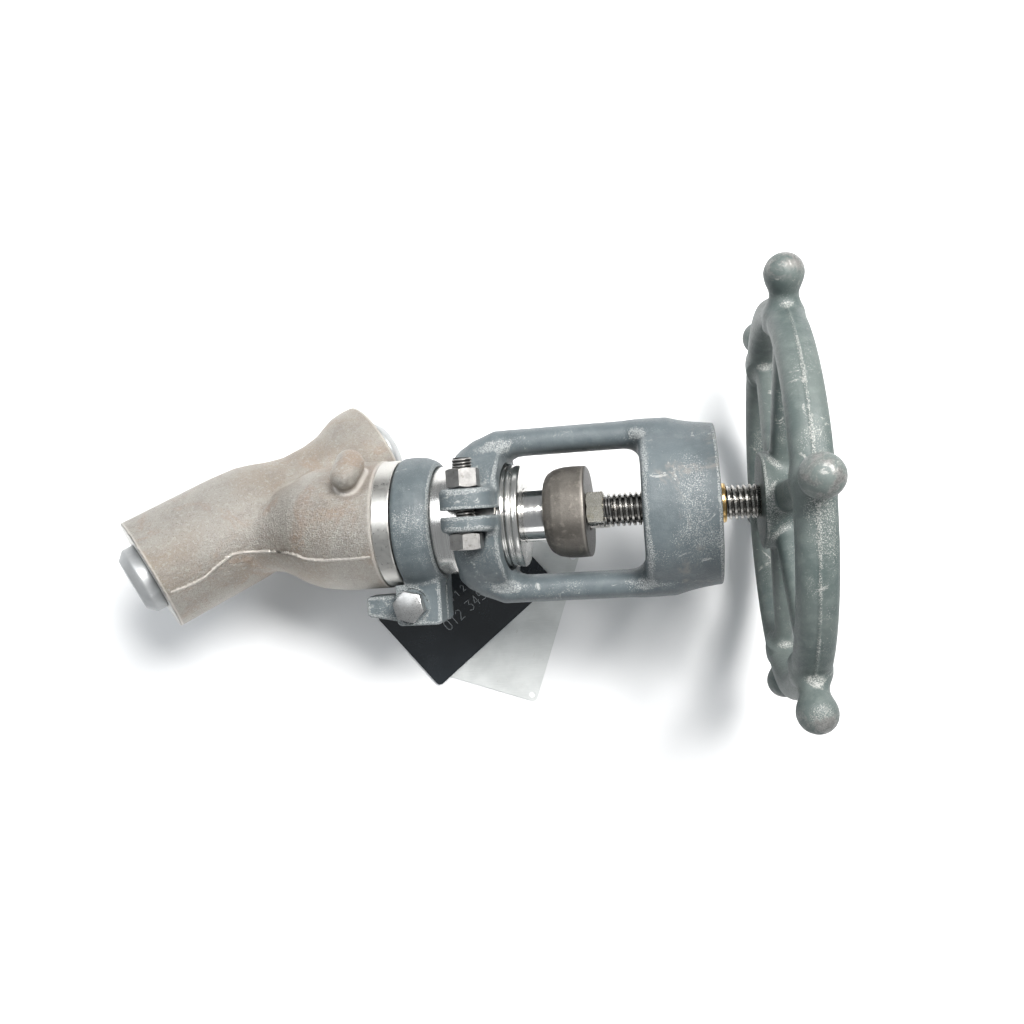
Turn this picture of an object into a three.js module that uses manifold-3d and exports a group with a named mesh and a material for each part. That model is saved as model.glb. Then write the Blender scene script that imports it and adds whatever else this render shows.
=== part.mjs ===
import * as THREE from 'three';
import Module from 'manifold-3d';

const wasm = await Module();
wasm.setup();

// ---- driving dimensions, mm -------------------------------------------------
const TILT = 9.837;          // how far the stem axis climbs from the table, degrees
const AXIS_H = 87.1;         // height of the point where stem axis and run axis cross
const RUN_LAT = 51.19;       // direction of the run's sideways part about the stem axis, degrees
const RUN_ANGLE = 42.703;    // angle between run and stem, degrees
const RUN_IN = 58.0;         // crossing point to inlet face
const RUN_OUT = 125.9;       // crossing point to outlet face
const RUN_R = 40.66;         // run hub outer radius
const BORE_R = 19.05;        // flow bore radius
const SOCKET_R = 24.45;      // weld socket radius
const SOCKET_D = 14.0;       // weld socket depth
const NECK_R = 44.0;         // forged neck radius
const BAND_R = 43.3;         // machined band radius
const BAND_Z0 = 122.6;
const BAND_Z1 = 134.6;
const BONNET_R = 36.8;
const BONNET_FACE = 217.6;
const SHANK_R = 11.5;        // stem through the packing
const THREAD_R = 11.1;       // stem thread over its crests
const PITCH = 3.629;         // stem thread pitch, 7 to the inch
const LIFT = 16.0;           // disc off its seat at rest
const WHEEL_Z = 385.9;       // plane of the handwheel rim
const KNOB_CIRCLE = 144.0;
const KNOB_R = 11.55;
const KNOB_PHASE = -4.3;
const WHEEL_OUT = 127.0;
const GAP = 0.3;

const D2R = Math.PI / 180;

// ---- solid helpers ----------------------------------------------------------
function solid(verts, tris) {
  const vp = new Float32Array(verts.length * 3);
  verts.forEach((v, i) => vp.set(v, i * 3));
  const m = new wasm.Manifold(new wasm.Mesh({ numProp: 3, vertProperties: vp, triVerts: new Uint32Array(tris) }));
  return m;
}
function signedVolume(verts, tris) {
  let s = 0;
  for (let i = 0; i < tris.length; i += 3) {
    const a = verts[tris[i]], b = verts[tris[i + 1]], c = verts[tris[i + 2]];
    s += a[0] * (b[1] * c[2] - b[2] * c[1]) - a[1] * (b[0] * c[2] - b[2] * c[0]) + a[2] * (b[0] * c[1] - b[1] * c[0]);
  }
  return s / 6;
}
function finish(verts, tris) {
  if (signedVolume(verts, tris) < 0) {
    for (let i = 0; i < tris.length; i += 3) { const t = tris[i]; tris[i] = tris[i + 1]; tris[i + 1] = t; }
  }
  return solid(verts, tris);
}
// closed profile of [r, z], turned about Z
function revolve(profile, seg = 48, phase = 0) {
  seg = Math.max(12, 4 * Math.round(seg * 0.68 / 4));
  const verts = [], rings = [];
  for (const [r, z] of profile) {
    if (r < 1e-6) { rings.push([verts.length]); verts.push([0, 0, z]); }
    else {
      const ring = [];
      for (let k = 0; k < seg; k++) {
        const a = phase + 2 * Math.PI * k / seg;
        ring.push(verts.length); verts.push([r * Math.cos(a), r * Math.sin(a), z]);
      }
      rings.push(ring);
    }
  }
  const tris = [];
  for (let i = 0; i < rings.length; i++) {
    const A = rings[i], B = rings[(i + 1) % rings.length];
    if (A.length === 1 && B.length === 1) continue;
    for (let k = 0; k < seg; k++) {
      const k2 = (k + 1) % seg;
      if (A.length === 1) tris.push(A[0], B[k2], B[k]);
      else if (B.length === 1) tris.push(A[k], A[k2], B[0]);
      else tris.push(A[k], A[k2], B[k2], A[k], B[k2], B[k]);
    }
  }
  return finish(verts, tris);
}
function cyl(r, z0, z1, seg = 32, phase = 0) { return revolve([[0, z0], [r, z0], [r, z1], [0, z1]], seg, phase); }
function tube(ri, ro, z0, z1, seg = 48) { return revolve([[ri, z0], [ro, z0], [ro, z1], [ri, z1]], seg); }
function ball(r, seg = 24, n = 8) {
  const p = [];
  for (let i = 0; i <= n; i++) { const a = -Math.PI / 2 + Math.PI * i / n; p.push([i === 0 || i === n ? 0 : r * Math.cos(a), r * Math.sin(a)]); }
  return revolve(p, seg);
}
function prism(poly, z0, z1) {
  const n = poly.length;
  const verts = [];
  for (const [x, y] of poly) verts.push([x, y, z0]);
  for (const [x, y] of poly) verts.push([x, y, z1]);
  const faces = THREE.ShapeUtils.triangulateShape(poly.map(([x, y]) => new THREE.Vector2(x, y)), []);
  const tris = [];
  for (const [a, b, c] of faces) { tris.push(a, c, b); tris.push(a + n, b + n, c + n); }
  let area = 0;
  for (let i = 0; i < n; i++) { const [x0, y0] = poly[i], [x1, y1] = poly[(i + 1) % n]; area += x0 * y1 - x1 * y0; }
  for (let i = 0; i < n; i++) {
    const j = (i + 1) % n;
    if (area > 0) tris.push(i, j, j + n, i, j + n, i + n); else tris.push(i, j + n, j, i, i + n, j + n);
  }
  if (area <= 0) for (let i = 0; i < faces.length * 6; i += 3) { const t = tris[i]; tris[i] = tris[i + 1]; tris[i + 1] = t; }
  return finish(verts, tris);
}
function block(x0, x1, y0, y1, z0, z1) { return prism([[x0, y0], [x1, y0], [x1, y1], [x0, y1]], z0, z1); }
function hexagon(af, z0, z1, chamfer = 0.8, phase = 0) {
  const p = [], rc = af / 2 / Math.cos(Math.PI / 6);
  for (let k = 0; k < 6; k++) { const a = phase + Math.PI * k / 3; p.push([rc * Math.cos(a), rc * Math.sin(a)]); }
  const c = chamfer;
  return prism(p, z0, z1).intersect(revolve([[0, z0], [rc + 0.01, z0], [rc + 0.01, z1 - c], [rc - c * 1.7, z1], [0, z1]], 36));
}
function rounded(x0, x1, y0, y1, r, n = 5) {
  const p = [];
  for (const [cx, cy, a0] of [[x1 - r, y1 - r, 0], [x0 + r, y1 - r, 90], [x0 + r, y0 + r, 180], [x1 - r, y0 + r, 270]])
    for (let i = 0; i <= n; i++) { const a = (a0 + 90 * i / n) * D2R; p.push([cx + r * Math.cos(a), cy + r * Math.sin(a)]); }
  return p;
}
// put a solid made along its own Z at an origin, with its Z along zdir
function place(m, origin, zdir, xhint = [1, 0, 0]) {
  const z = new THREE.Vector3(...zdir).normalize();
  let h = new THREE.Vector3(...xhint);
  if (Math.abs(h.clone().normalize().dot(z)) > 0.99) h = new THREE.Vector3(0, 1, 0);
  const x = h.clone().sub(z.clone().multiplyScalar(h.dot(z))).normalize();
  const y = z.clone().cross(x);
  const M = new THREE.Matrix4().makeBasis(x, y, z).setPosition(...origin);
  return m.transform(M.elements);
}
const union = (...list) => list.reduce((a, b) => a.add(b));

// ---- frame ------------------------------------------------------------------
// Working frame: Z along the stem from the crossing point to the handwheel, Y level
// with the table, X down. It is laid over into the table frame at the end.
const st = Math.sin(TILT * D2R), ct = Math.cos(TILT * D2R);
const LAY = new THREE.Matrix4().makeBasis(
  new THREE.Vector3(st, 0, -ct), new THREE.Vector3(0, 1, 0), new THREE.Vector3(ct, 0, st)).setPosition(0, 0, AXIS_H);

const e1 = [Math.sin(RUN_LAT * D2R), Math.cos(RUN_LAT * D2R), 0];
const RUN = [Math.sin(RUN_ANGLE * D2R) * e1[0], Math.sin(RUN_ANGLE * D2R) * e1[1], Math.cos(RUN_ANGLE * D2R)];
const along = (m, t = 0) => place(m, [RUN[0] * t, RUN[1] * t, RUN[2] * t], RUN, [1, 0, 0]);

const group = new THREE.Group();
group.name = 'needle_valve';
const MAT = {
  forging: [0x9a938a, 0.5, 0.8], machined: [0xc8c9c8, 0.25, 1.0], steel: [0x8d9093, 0.35, 0.95],
  bluegrey: [0x56626a, 0.55, 0.1], greengrey: [0x5f6e6c, 0.6, 0.1], dark: [0x4b4640, 0.6, 0.6],
  zinc: [0xb9b49b, 0.35, 0.9], bronze: [0xb08a45, 0.35, 0.9], graphite: [0x2b2c2e, 0.8, 0.1],
  plug: [0x9ba0a3, 0.55, 0.1], black: [0x1d2328, 0.35, 0.2], silver: [0xb9bfc2, 0.4, 0.9],
};
function add(name, m, mat, lay = true) {
  const mesh = m.getMesh();
  const g = new THREE.BufferGeometry();
  g.setAttribute('position', new THREE.BufferAttribute(new Float32Array(mesh.vertProperties), 3));
  g.setIndex(new THREE.BufferAttribute(new Uint32Array(mesh.triVerts), 1));
  if (lay) g.applyMatrix4(LAY);
  g.computeVertexNormals();
  const [color, roughness, metalness] = MAT[mat];
  const o = new THREE.Mesh(g, new THREE.MeshStandardMaterial({ color, roughness, metalness }));
  o.name = name;
  group.add(o);
}

// ---- valve body -------------------------------------------------------------
const runOuter = along(revolve([
  [0, -RUN_IN], [RUN_R - 1.2, -RUN_IN], [RUN_R, -RUN_IN + 1.2], [RUN_R, 0], [RUN_R - 0.2, 10], [39.5, 27], [36.8, 38], [33, 50],
  [30.4, 62], [30.8, 80], [33, 93], [36.6, 101], [39.4, 108], [RUN_R, 116], [RUN_R, RUN_OUT - 1.2], [RUN_R - 1.2, RUN_OUT], [0, RUN_OUT]], 48));
const neck = revolve([
  [0, -8], [16, -8], [24, 0], [26, 14], [27.5, 30], [29, 42], [33, 51], [38, 60], [41.5, 70], [43.4, 80], [NECK_R, 92], [NECK_R, 108], [NECK_R - 0.2, BAND_Z0],
  [BAND_R, BAND_Z0 + 0.4], [BAND_R, BAND_Z1], [36.5, BAND_Z1], [36.5, 150], [0, 150]], 48);
const bossA = [-33.0, 41.5, 107.5], bossB = [-41.5, 33.0, 106.0];
const bossDir = [bossB[0] - bossA[0], bossB[1] - bossA[1], bossB[2] - bossA[2]];
const bossLen = Math.hypot(...bossDir);
const boss = place(union(ball(9.3), cyl(9.3, 0, bossLen, 24), ball(9.3).translate([0, 0, bossLen])), bossA, bossDir);
let body = union(runOuter, neck, boss);
body = body.subtract(along(cyl(BORE_R, -RUN_IN - 1, -14, 32)));
body = body.subtract(along(cyl(SOCKET_R, -RUN_IN - 1, -RUN_IN + SOCKET_D, 40)));
body = body.subtract(cyl(17.3, -19, 3, 32));
body = body.subtract(revolve([[0, -2], [22.6, -2], [22.6, 52], [27, 62], [27, 96], [30, 96], [30, 151], [0, 151]], 48));
body = body.subtract(along(cyl(BORE_R, 24, RUN_OUT + 1, 32)));
body = body.subtract(along(cyl(SOCKET_R, RUN_OUT - SOCKET_D, RUN_OUT + 1, 40)));
add('valve_body', body, 'forging');

// ---- inside the body --------------------------------------------------------
add('seat_ring', revolve([[17.3, -1.7], [22.3, -1.7], [22.3, 7.7], [19.5, 7.7], [17.3, 5.5]], 40), 'machined');
const dz = 7.7 + LIFT;
add('disc', revolve([[0, dz - 3.9], [15.5, dz - 3.9], [21.0, dz + 1.6], [22.0, dz + 3.2], [22.0, dz + 33],
  [21.0, dz + 34], [16.5, dz + 34], [16.5, dz + 18], [0, dz + 18]], 40), 'machined');
add('disc_nut', revolve([[11.9, dz + 26.6], [16.2, dz + 26.6], [16.2, dz + 38], [11.9, dz + 38]], 32), 'steel');
add('bonnet_gasket', tube(25.5, 29.7, 96.3, 98.3, 48), 'graphite');

// ---- bonnet -----------------------------------------------------------------
let bonnet = revolve([[0, 98.6], [29.7, 98.6], [29.7, 150.3], [BONNET_R, 150.3], [BONNET_R, 203],
  [34.4, 204], [34.4, 207.5], [33.6, 208], [33.6, 209], [34.4, 209.5], [34.4, 211.5], [33.6, 212], [33.6, 213], [34.4, 213.5],
  [34.4, 216.2], [33.0, BONNET_FACE], [0, BONNET_FACE]], 56);
bonnet = bonnet.subtract(revolve([[0, 98], [15.4, 98], [11.8, 101.6], [11.8, 167.7], [18.2, 167.7], [18.2, 218], [0, 218]], 36));
add('bonnet', bonnet, 'machined');
for (let i = 0; i < 3; i++) {
  const z0 = 168.0 + i * 9.3;
  add('packing_ring_' + (i + 1), tube(SHANK_R + GAP, 17.9, z0, z0 + 9.0, 32), 'graphite');
}
add('gland', revolve([[11.8, 196.2], [17.9, 196.2], [17.9, 233.4], [11.8, 233.4]], 40), 'machined');

// gland flange: short oval block over the gland, its long way towards the studs
const GZ0 = 233.7, GZ1 = 261.0, STUD_R = 6.35, STUD_X = 27.0;
const oval = (hx, hy, z0, z1) => {
  const p = [];
  for (let i = 0; i < 40; i++) {
    const a = 2 * Math.PI * i / 40, c = Math.cos(a), s = Math.sin(a), e = 2 / 2.4;
    p.push([hx * Math.sign(c) * Math.abs(c) ** e, hy * Math.sign(s) * Math.abs(s) ** e]);
  }
  return prism(p, z0, z1);
};
let gf = wasm.Manifold.hull([oval(37.5, 24.5, GZ0, GZ0 + 0.5), oval(41, 28, GZ0 + 4, GZ0 + 5), oval(42.4, 30.2, GZ0 + 11, GZ1)]);
gf = gf.subtract(cyl(12.4, GZ0 - 1, GZ1 + 1, 32));
for (const s of [-1, 1]) gf = gf.subtract(cyl(STUD_R + 0.25, 240, GZ1 + 1, 24).translate([s * STUD_X, 0, 0]));
const turn = (m, deg) => m.rotate([0, 0, deg]);
const GTURN = -5;
add('gland_flange', turn(gf, GTURN), 'dark');
for (const [s, n] of [[-1, 'near'], [1, 'far']]) {
  const stud = revolve([[0, 240.3], [STUD_R, 240.3], [STUD_R, 276.2], [STUD_R - 1, 277.2], [0, 277.2]], 24).translate([s * STUD_X, 0, 0]);
  add('gland_stud_' + n, turn(stud, GTURN), 'steel');
  const nut = hexagon(19.05, GZ1 + GAP, 272.4, 0.9, Math.PI / 6).subtract(cyl(STUD_R + 0.2, 255, 280, 24)).translate([s * STUD_X, 0, 0]);
  add('gland_nut_' + n, turn(nut, GTURN), 'zinc');
}

// ---- locking collar ---------------------------------------------------------
let collar = revolve([[37.1, 134.9], [42.2, 134.9], [44.2, 137.4], [44.6, 144], [43.8, 152], [41.6, 157], [38.6, 160.0], [37.1, 160.0]], 56);
const LUGY = -55.7, LUGZ = 138.6;
let lug = place(prism([[127.8, -67.6], [130, -69.2], [156, -69.2], [159.4, -66], [159.4, -46], [150, -38], [137, -38], [134.9, -40], [134.9, -49.0], [127.8, -49.0]], -17, 17.5), [0, 0, 0], [-1, 0, 0], [0, 0, 1]);
const finger = place(prism([[103.3, -61.6], [105, -63.4], [128, -67.8], [128, -48.6], [105, -49.3], [103.3, -50.8]], -12, 6), [0, 0, 0], [-1, 0, 0], [0, 0, 1]);
collar = union(collar, lug, finger).subtract(cyl(37.1, 120, 170, 56));
collar = collar.subtract(block(-1.6, 1.6, -75, -30, 133.5, 165));
collar = collar.subtract(revolve([[0, 95], [44.5, 95], [44.5, BAND_Z1], [0, BAND_Z1]], 48));
const inX = (m, y, z) => place(m, [0, y, z], [-1, 0, 0], [0, 0, 1]);   // along -X, the side that faces up
collar = collar.subtract(inX(cyl(6.6, -20, 20, 24), LUGY, LUGZ));
add('locking_collar', collar, 'bluegrey');
add('collar_screw', inX(union(cyl(6.35, -16, 18.5, 24), hexagon(19.05, 17.8, 25.6, 1.0, 0.25)), LUGY, LUGZ), 'steel');

// ---- yoke -------------------------------------------------------------------
const YZ0 = 174.5, YZ1 = 207.0, HUB0 = 296.0, HUB1 = 344.2, HUB_R = 52.4;
const armPoly = (y) => {
  const p = [];
  for (let i = 0; i < 20; i++) {
    const a = 2 * Math.PI * i / 20, c = Math.cos(a), s = Math.sin(a), e = 2 / 2.6;
    p.push([17 * Math.sign(c) * Math.abs(c) ** e, y + 9.4 * Math.sign(s) * Math.abs(s) ** e]);
  }
  return p;
};
let yoke = revolve([[0, YZ0], [42.5, YZ0], [46, YZ0 + 3.5], [48, YZ0 + 12], [49, YZ1 - 8], [47.5, YZ1 - 2], [45, YZ1], [0, YZ1]], 56);
yoke = yoke.add(revolve([[0, HUB0], [49, HUB0], [HUB_R, HUB0 + 4], [HUB_R, HUB1 - 1.5], [HUB_R - 1.5, HUB1], [0, HUB1]], 56));
for (const s of [-1, 1]) {
  yoke = yoke.add(prism(armPoly(s * 48.9), 196, 312));
  // arm roots: spread into the clamp and over the side of the hub
  yoke = yoke.add(wasm.Manifold.hull([prism(armPoly(s * 48.9), 198, 206), block(-20, 20, s > 0 ? 30 : -46, s > 0 ? 46 : -30, 178, 190)]));
  yoke = yoke.add(wasm.Manifold.hull([prism(armPoly(s * 48.9), 296, 306), block(-21, 21, s > 0 ? 30 : -50, s > 0 ? 50 : -30, 318, 326)]));
}
// window between the arms
yoke = yoke.subtract(place(prism(rounded(YZ1, HUB0, -39.5, 39.5, 13), -70, 70), [0, 0, 0], [-1, 0, 0], [0, 0, 1]));
// clamp ears, split and bores
const ears = wasm.Manifold.hull([block(-66, -40, -7.9, 19.7, 174.5, 203), block(-62, -40, -7.9, 19.7, 171.5, 206.5)]);
yoke = yoke.add(ears);
yoke = yoke.subtract(cyl(37.1, 150, YZ1 + 0.01, 56));
yoke = yoke.subtract(block(-70, 0, 2.1, 6.3, 160, 212));
const BOLT_X = -54, BOLT_Z = 188;
const inY = (m) => place(m, [BOLT_X, 0, BOLT_Z], [0, 1, 0], [0, 0, 1]);
yoke = yoke.subtract(inY(cyl(6.65, -12, 24, 24)));
yoke = yoke.subtract(inY(cyl(12.4, -40, -7.9, 28))).subtract(inY(cyl(12.4, 19.7, 48, 28)));
yoke = yoke.subtract(revolve([[0, 290], [16.3, 290], [16.3, 336.3], [13.3, 336.3], [13.3, 350], [0, 350]], 40));
add('yoke', yoke, 'bluegrey');
add('yoke_bolt', inY(union(cyl(6.35, -9, 38.5, 24), hexagon(19.05, -18.6, -8.2, 0.01, 0).intersect(revolve([[0, -18.6], [8.2, -18.6], [11.2, -17.2], [11.2, -8.2], [0, -8.2]], 36)))), 'steel');
add('yoke_nut', inY(hexagon(19.05, 20.0, 32.0, 0.9, 0).subtract(cyl(6.55, 15, 40, 24))), 'steel');
add('yoke_bushing', revolve([[THREAD_R + 0.25, 298.5], [15, 298.5], [16, 299.5], [16, 336], [13.0, 336], [13.0, 348.3], [12.4, 349.3], [THREAD_R + 0.25, 349.3]], 40), 'bronze');

// ---- stem and handwheel -----------------------------------------------------
const WZ0 = 371.0, WZ1 = 399.0;
add('stem', revolve([[0, dz + 18.4], [14.6, dz + 18.4], [14.6, dz + 26.2], [SHANK_R, dz + 26.2], [SHANK_R, 78], [14.6, 81], [14.6, 92],
  [SHANK_R, 95.2], [SHANK_R, 266], [THREAD_R - 1.2, 267], [THREAD_R, 268.2], [THREAD_R, 368.5], [9.5, 370.6], [9.5, 397.5], [7.9, 398.5], [7.9, 414], [7.0, 415], [0, 415]], 36), 'steel');
let wheel = revolve([[0, WZ0], [30.4, WZ0], [31.3, WZ0 + 1], [31.3, WZ0 + 4.5], [29.2, WZ0 + 8], [26, WZ0 + 16], [23, WZ1 - 2], [21.5, WZ1], [0, WZ1]], 48);
const rim = [];
for (let i = 0; i < 12; i++) {
  const a = 2 * Math.PI * i / 12, c = Math.cos(a), s = Math.sin(a), e = 2 / 2.5;
  rim.push([118 + 9 * Math.sign(c) * Math.abs(c) ** e, WHEEL_Z + 11 * Math.sign(s) * Math.abs(s) ** e]);
}
wheel = wheel.add(revolve(rim, 72));
for (let k = 0; k < 6; k++) {
  const a = (KNOB_PHASE + 60 * k) * D2R, d = [Math.cos(a), Math.sin(a), 0];
  const s0 = place(prism(rounded(-8.5, 8.5, -7.5, 7.5, 4, 3), 17, 19), [0, 0, WZ0 + 13], d, [0, 0, 1]);
  const s1 = place(prism(rounded(-8, 8, -5.5, 5.5, 4, 3), 112, 114), [0, 0, WHEEL_Z], d, [0, 0, 1]);
  wheel = wheel.add(wasm.Manifold.hull([s0, s1]));
  wheel = wheel.add(place(revolve([[0, 112], [11, 112], [9.5, 126], [8.2, 133], [8.0, 140], [0, 140]], 20), [0, 0, WHEEL_Z], d, [0, 0, 1]));
  wheel = wheel.add(ball(KNOB_R, 24, 8).translate([KNOB_CIRCLE * d[0], KNOB_CIRCLE * d[1], WHEEL_Z]));
}
wheel = wheel.subtract(cyl(9.8, WZ0 - 1, WZ1 + 1, 36));
add('handwheel', wheel, 'greengrey');
add('wheel_washer', tube(8.3, 15, WZ1 + GAP, WZ1 + 2.8, 36), 'zinc');
add('wheel_nut', hexagon(24, WZ1 + 3.1, 413, 1.0, 0.2).subtract(cyl(8.1, 395, 420, 28)), 'zinc');

// ---- end protectors ---------------------------------------------------------
const plug = revolve([[0, 0], [23.0, 0], [23.0, 13.2], [24.1, 13.8], [24.1, 21.0], [18.4, 26.6], [0, 26.6]], 40);
const minus = [-RUN[0], -RUN[1], -RUN[2]];
add('inlet_protector', place(plug, [RUN[0] * (-RUN_IN + 13.7), RUN[1] * (-RUN_IN + 13.7), RUN[2] * (-RUN_IN + 13.7)], minus), 'plug');
add('outlet_protector', place(plug, [RUN[0] * (RUN_OUT - 13.7), RUN[1] * (RUN_OUT - 13.7), RUN[2] * (RUN_OUT - 13.7)], RUN), 'plug');

// ---- data plates, lying on the table ----------------------------------------
const plate = (cx, cy, ang, z0, z1, holes) => {
  let m = prism(rounded(-63.5, 63.5, -38.1, 38.1, 4), z0, z1);
  for (const [x, y] of holes) m = m.subtract(cyl(2.4, z0 - 1, z1 + 1, 16).translate([x, y, 0]));
  return m.rotate([0, 0, ang]).translate([cx, cy, 0]);
};
add('data_plate_silver', plate(200.9, -80.3, 69.8, 0.05, 1.05, [[-58.5, -33.5], [58.5, -33.5]]), 'silver', false);
add('data_plate_black', plate(163.1, -65.5, 38.6, 1.35, 2.85, [[58.5, 33.5]]), 'black', false);

// ---- origin at the middle of the resting side -------------------------------
const box = new THREE.Box3().setFromObject(group);
const shift = new THREE.Vector3(-(box.min.x + box.max.x) / 2, -(box.min.y + box.max.y) / 2, -box.min.z);
for (const o of group.children) o.geometry.translate(shift.x, shift.y, shift.z);
export default group;
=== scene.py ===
import bpy
import bmesh
import math
import numpy as np
from mathutils import Matrix, Vector


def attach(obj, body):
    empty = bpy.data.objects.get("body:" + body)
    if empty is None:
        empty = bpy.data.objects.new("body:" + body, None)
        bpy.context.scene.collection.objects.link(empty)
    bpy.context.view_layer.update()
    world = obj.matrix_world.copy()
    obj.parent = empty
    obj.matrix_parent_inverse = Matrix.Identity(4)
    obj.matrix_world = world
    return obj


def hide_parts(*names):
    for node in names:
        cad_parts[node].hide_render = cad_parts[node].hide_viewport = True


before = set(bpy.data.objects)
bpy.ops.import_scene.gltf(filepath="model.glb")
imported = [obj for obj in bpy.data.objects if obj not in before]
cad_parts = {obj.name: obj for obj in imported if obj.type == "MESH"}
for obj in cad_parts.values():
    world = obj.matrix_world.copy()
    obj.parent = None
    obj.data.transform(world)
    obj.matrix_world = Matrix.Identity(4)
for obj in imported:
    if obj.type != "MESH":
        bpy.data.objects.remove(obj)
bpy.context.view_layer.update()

# ---- camera ------------------------------------------------------------------
cam_data = bpy.data.cameras.new("camera")
cam = bpy.data.objects.new("camera", cam_data)
bpy.context.scene.collection.objects.link(cam)
cam_data.lens = 30.94
cam_data.sensor_width = 36.0
cam_data.clip_start = 0.02
cam_data.clip_end = 20.0
cam.location = (0.032187, 0.00825, 0.71895)
cam.rotation_euler = (0.0, 0.0, math.radians(-3.7177))
bpy.context.scene.camera = cam

bpy.context.scene.view_settings.view_transform = "Standard"

# ---- working frame of the CAD: Z along the stem, Y level, X down, millimetres --
TILT = math.radians(9.837)
ST, CT = math.sin(TILT), math.cos(TILT)
SHIFT = np.array([-173.0094, 5.3034, -0.05])
TURN = np.array([[ST, 0.0, CT], [0.0, 1.0, 0.0], [-CT, 0.0, ST]])
RUN_LAT, RUN_ANGLE = math.radians(51.19), math.radians(42.703)
RUN = np.array([math.sin(RUN_ANGLE) * math.sin(RUN_LAT), math.sin(RUN_ANGLE) * math.cos(RUN_LAT), math.cos(RUN_ANGLE)])
RUN_IN, RUN_OUT, RUN_R = 58.0, 125.9, 40.66
WHEEL_Z, KNOB_PHASE = 385.9, math.radians(-4.3)
PITCH = 3.629
DZ = 23.7


def to_row(p):
    p = np.asarray(p, float).reshape(-1, 3)
    return (p @ TURN.T + np.array([0.0, 0.0, 87.1]) + SHIFT) * 0.001


def dir_row(v):
    return np.asarray(v, float).reshape(-1, 3) @ TURN.T


# ---- distance-field helpers ----------------------------------------------------
def smin(a, b, k):
    h = np.clip(0.5 + 0.5 * (b - a) / k, 0, 1)
    return b * (1 - h) + a * h - k * h * (1 - h)


def smax(a, b, k):
    return -smin(-a, -b, k)


def smoothed(ts, rs, step=0.5, passes=14):
    """A table of radius against station, its corners eased."""
    t = np.arange(ts[0], ts[-1] + step, step)
    r = np.interp(t, ts, rs)
    for _ in range(passes):
        r[1:-1] = 0.25 * r[:-2] + 0.5 * r[1:-1] + 0.25 * r[2:]
    return t, r


def capsule(P, a, b, ra, rb=None):
    rb = ra if rb is None else rb
    a, b = np.asarray(a, float), np.asarray(b, float)
    ab = b - a
    h = np.clip(((P - a) @ ab) / (ab @ ab), 0, 1)
    return np.linalg.norm(P - a - h[:, None] * ab, axis=1) - (ra + (rb - ra) * h)


def rbox(x, y, z, c, half, r):
    qx, qy, qz = np.abs(x - c[0]) - half[0] + r, np.abs(y - c[1]) - half[1] + r, np.abs(z - c[2]) - half[2] + r
    out = np.sqrt(np.maximum(qx, 0) ** 2 + np.maximum(qy, 0) ** 2 + np.maximum(qz, 0) ** 2)
    return out + np.minimum(np.maximum(qx, np.maximum(qy, qz)), 0) - r


def rrect(x, y, cx, cy, hx, hy, r):
    qx, qy = np.abs(x - cx) - hx + r, np.abs(y - cy) - hy + r
    return np.sqrt(np.maximum(qx, 0) ** 2 + np.maximum(qy, 0) ** 2) + np.minimum(np.maximum(qx, qy), 0) - r


def superell(u, v, a, b, e):
    u, v = np.abs(u), np.abs(v)
    f = ((u / a) ** e + (v / b) ** e) ** (1.0 / e)
    n = np.sqrt(u * u + v * v)
    return np.where(f > 1e-6, (1 - 1 / np.maximum(f, 1e-6)) * n, -np.minimum(a, b))


def poly2(px, py, pts):
    """Signed distance to a 2-D polygon."""
    pts = np.asarray(pts, float)
    d = np.full(px.shape, 1e9)
    s = np.ones(px.shape)
    n = len(pts)
    for i in range(n):
        a, b = pts[i], pts[i - 1]
        ex, ey = b[0] - a[0], b[1] - a[1]
        wx, wy = px - a[0], py - a[1]
        h = np.clip((wx * ex + wy * ey) / (ex * ex + ey * ey), 0, 1)
        bx, by = wx - ex * h, wy - ey * h
        d = np.minimum(d, bx * bx + by * by)
        c1, c2, c3 = py >= a[1], py < b[1], ex * wy > ey * wx
        flip = (c1 & c2 & c3) | (~c1 & ~c2 & ~c3)
        s = np.where(flip, -s, s)
    return s * np.sqrt(d)


def gradient(f, P, e=0.05):
    g = np.empty_like(P)
    for k in range(3):
        d = np.zeros(3)
        d[k] = e
        g[:, k] = (f(P + d) - f(P - d)) / (2 * e)
    return g


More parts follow.
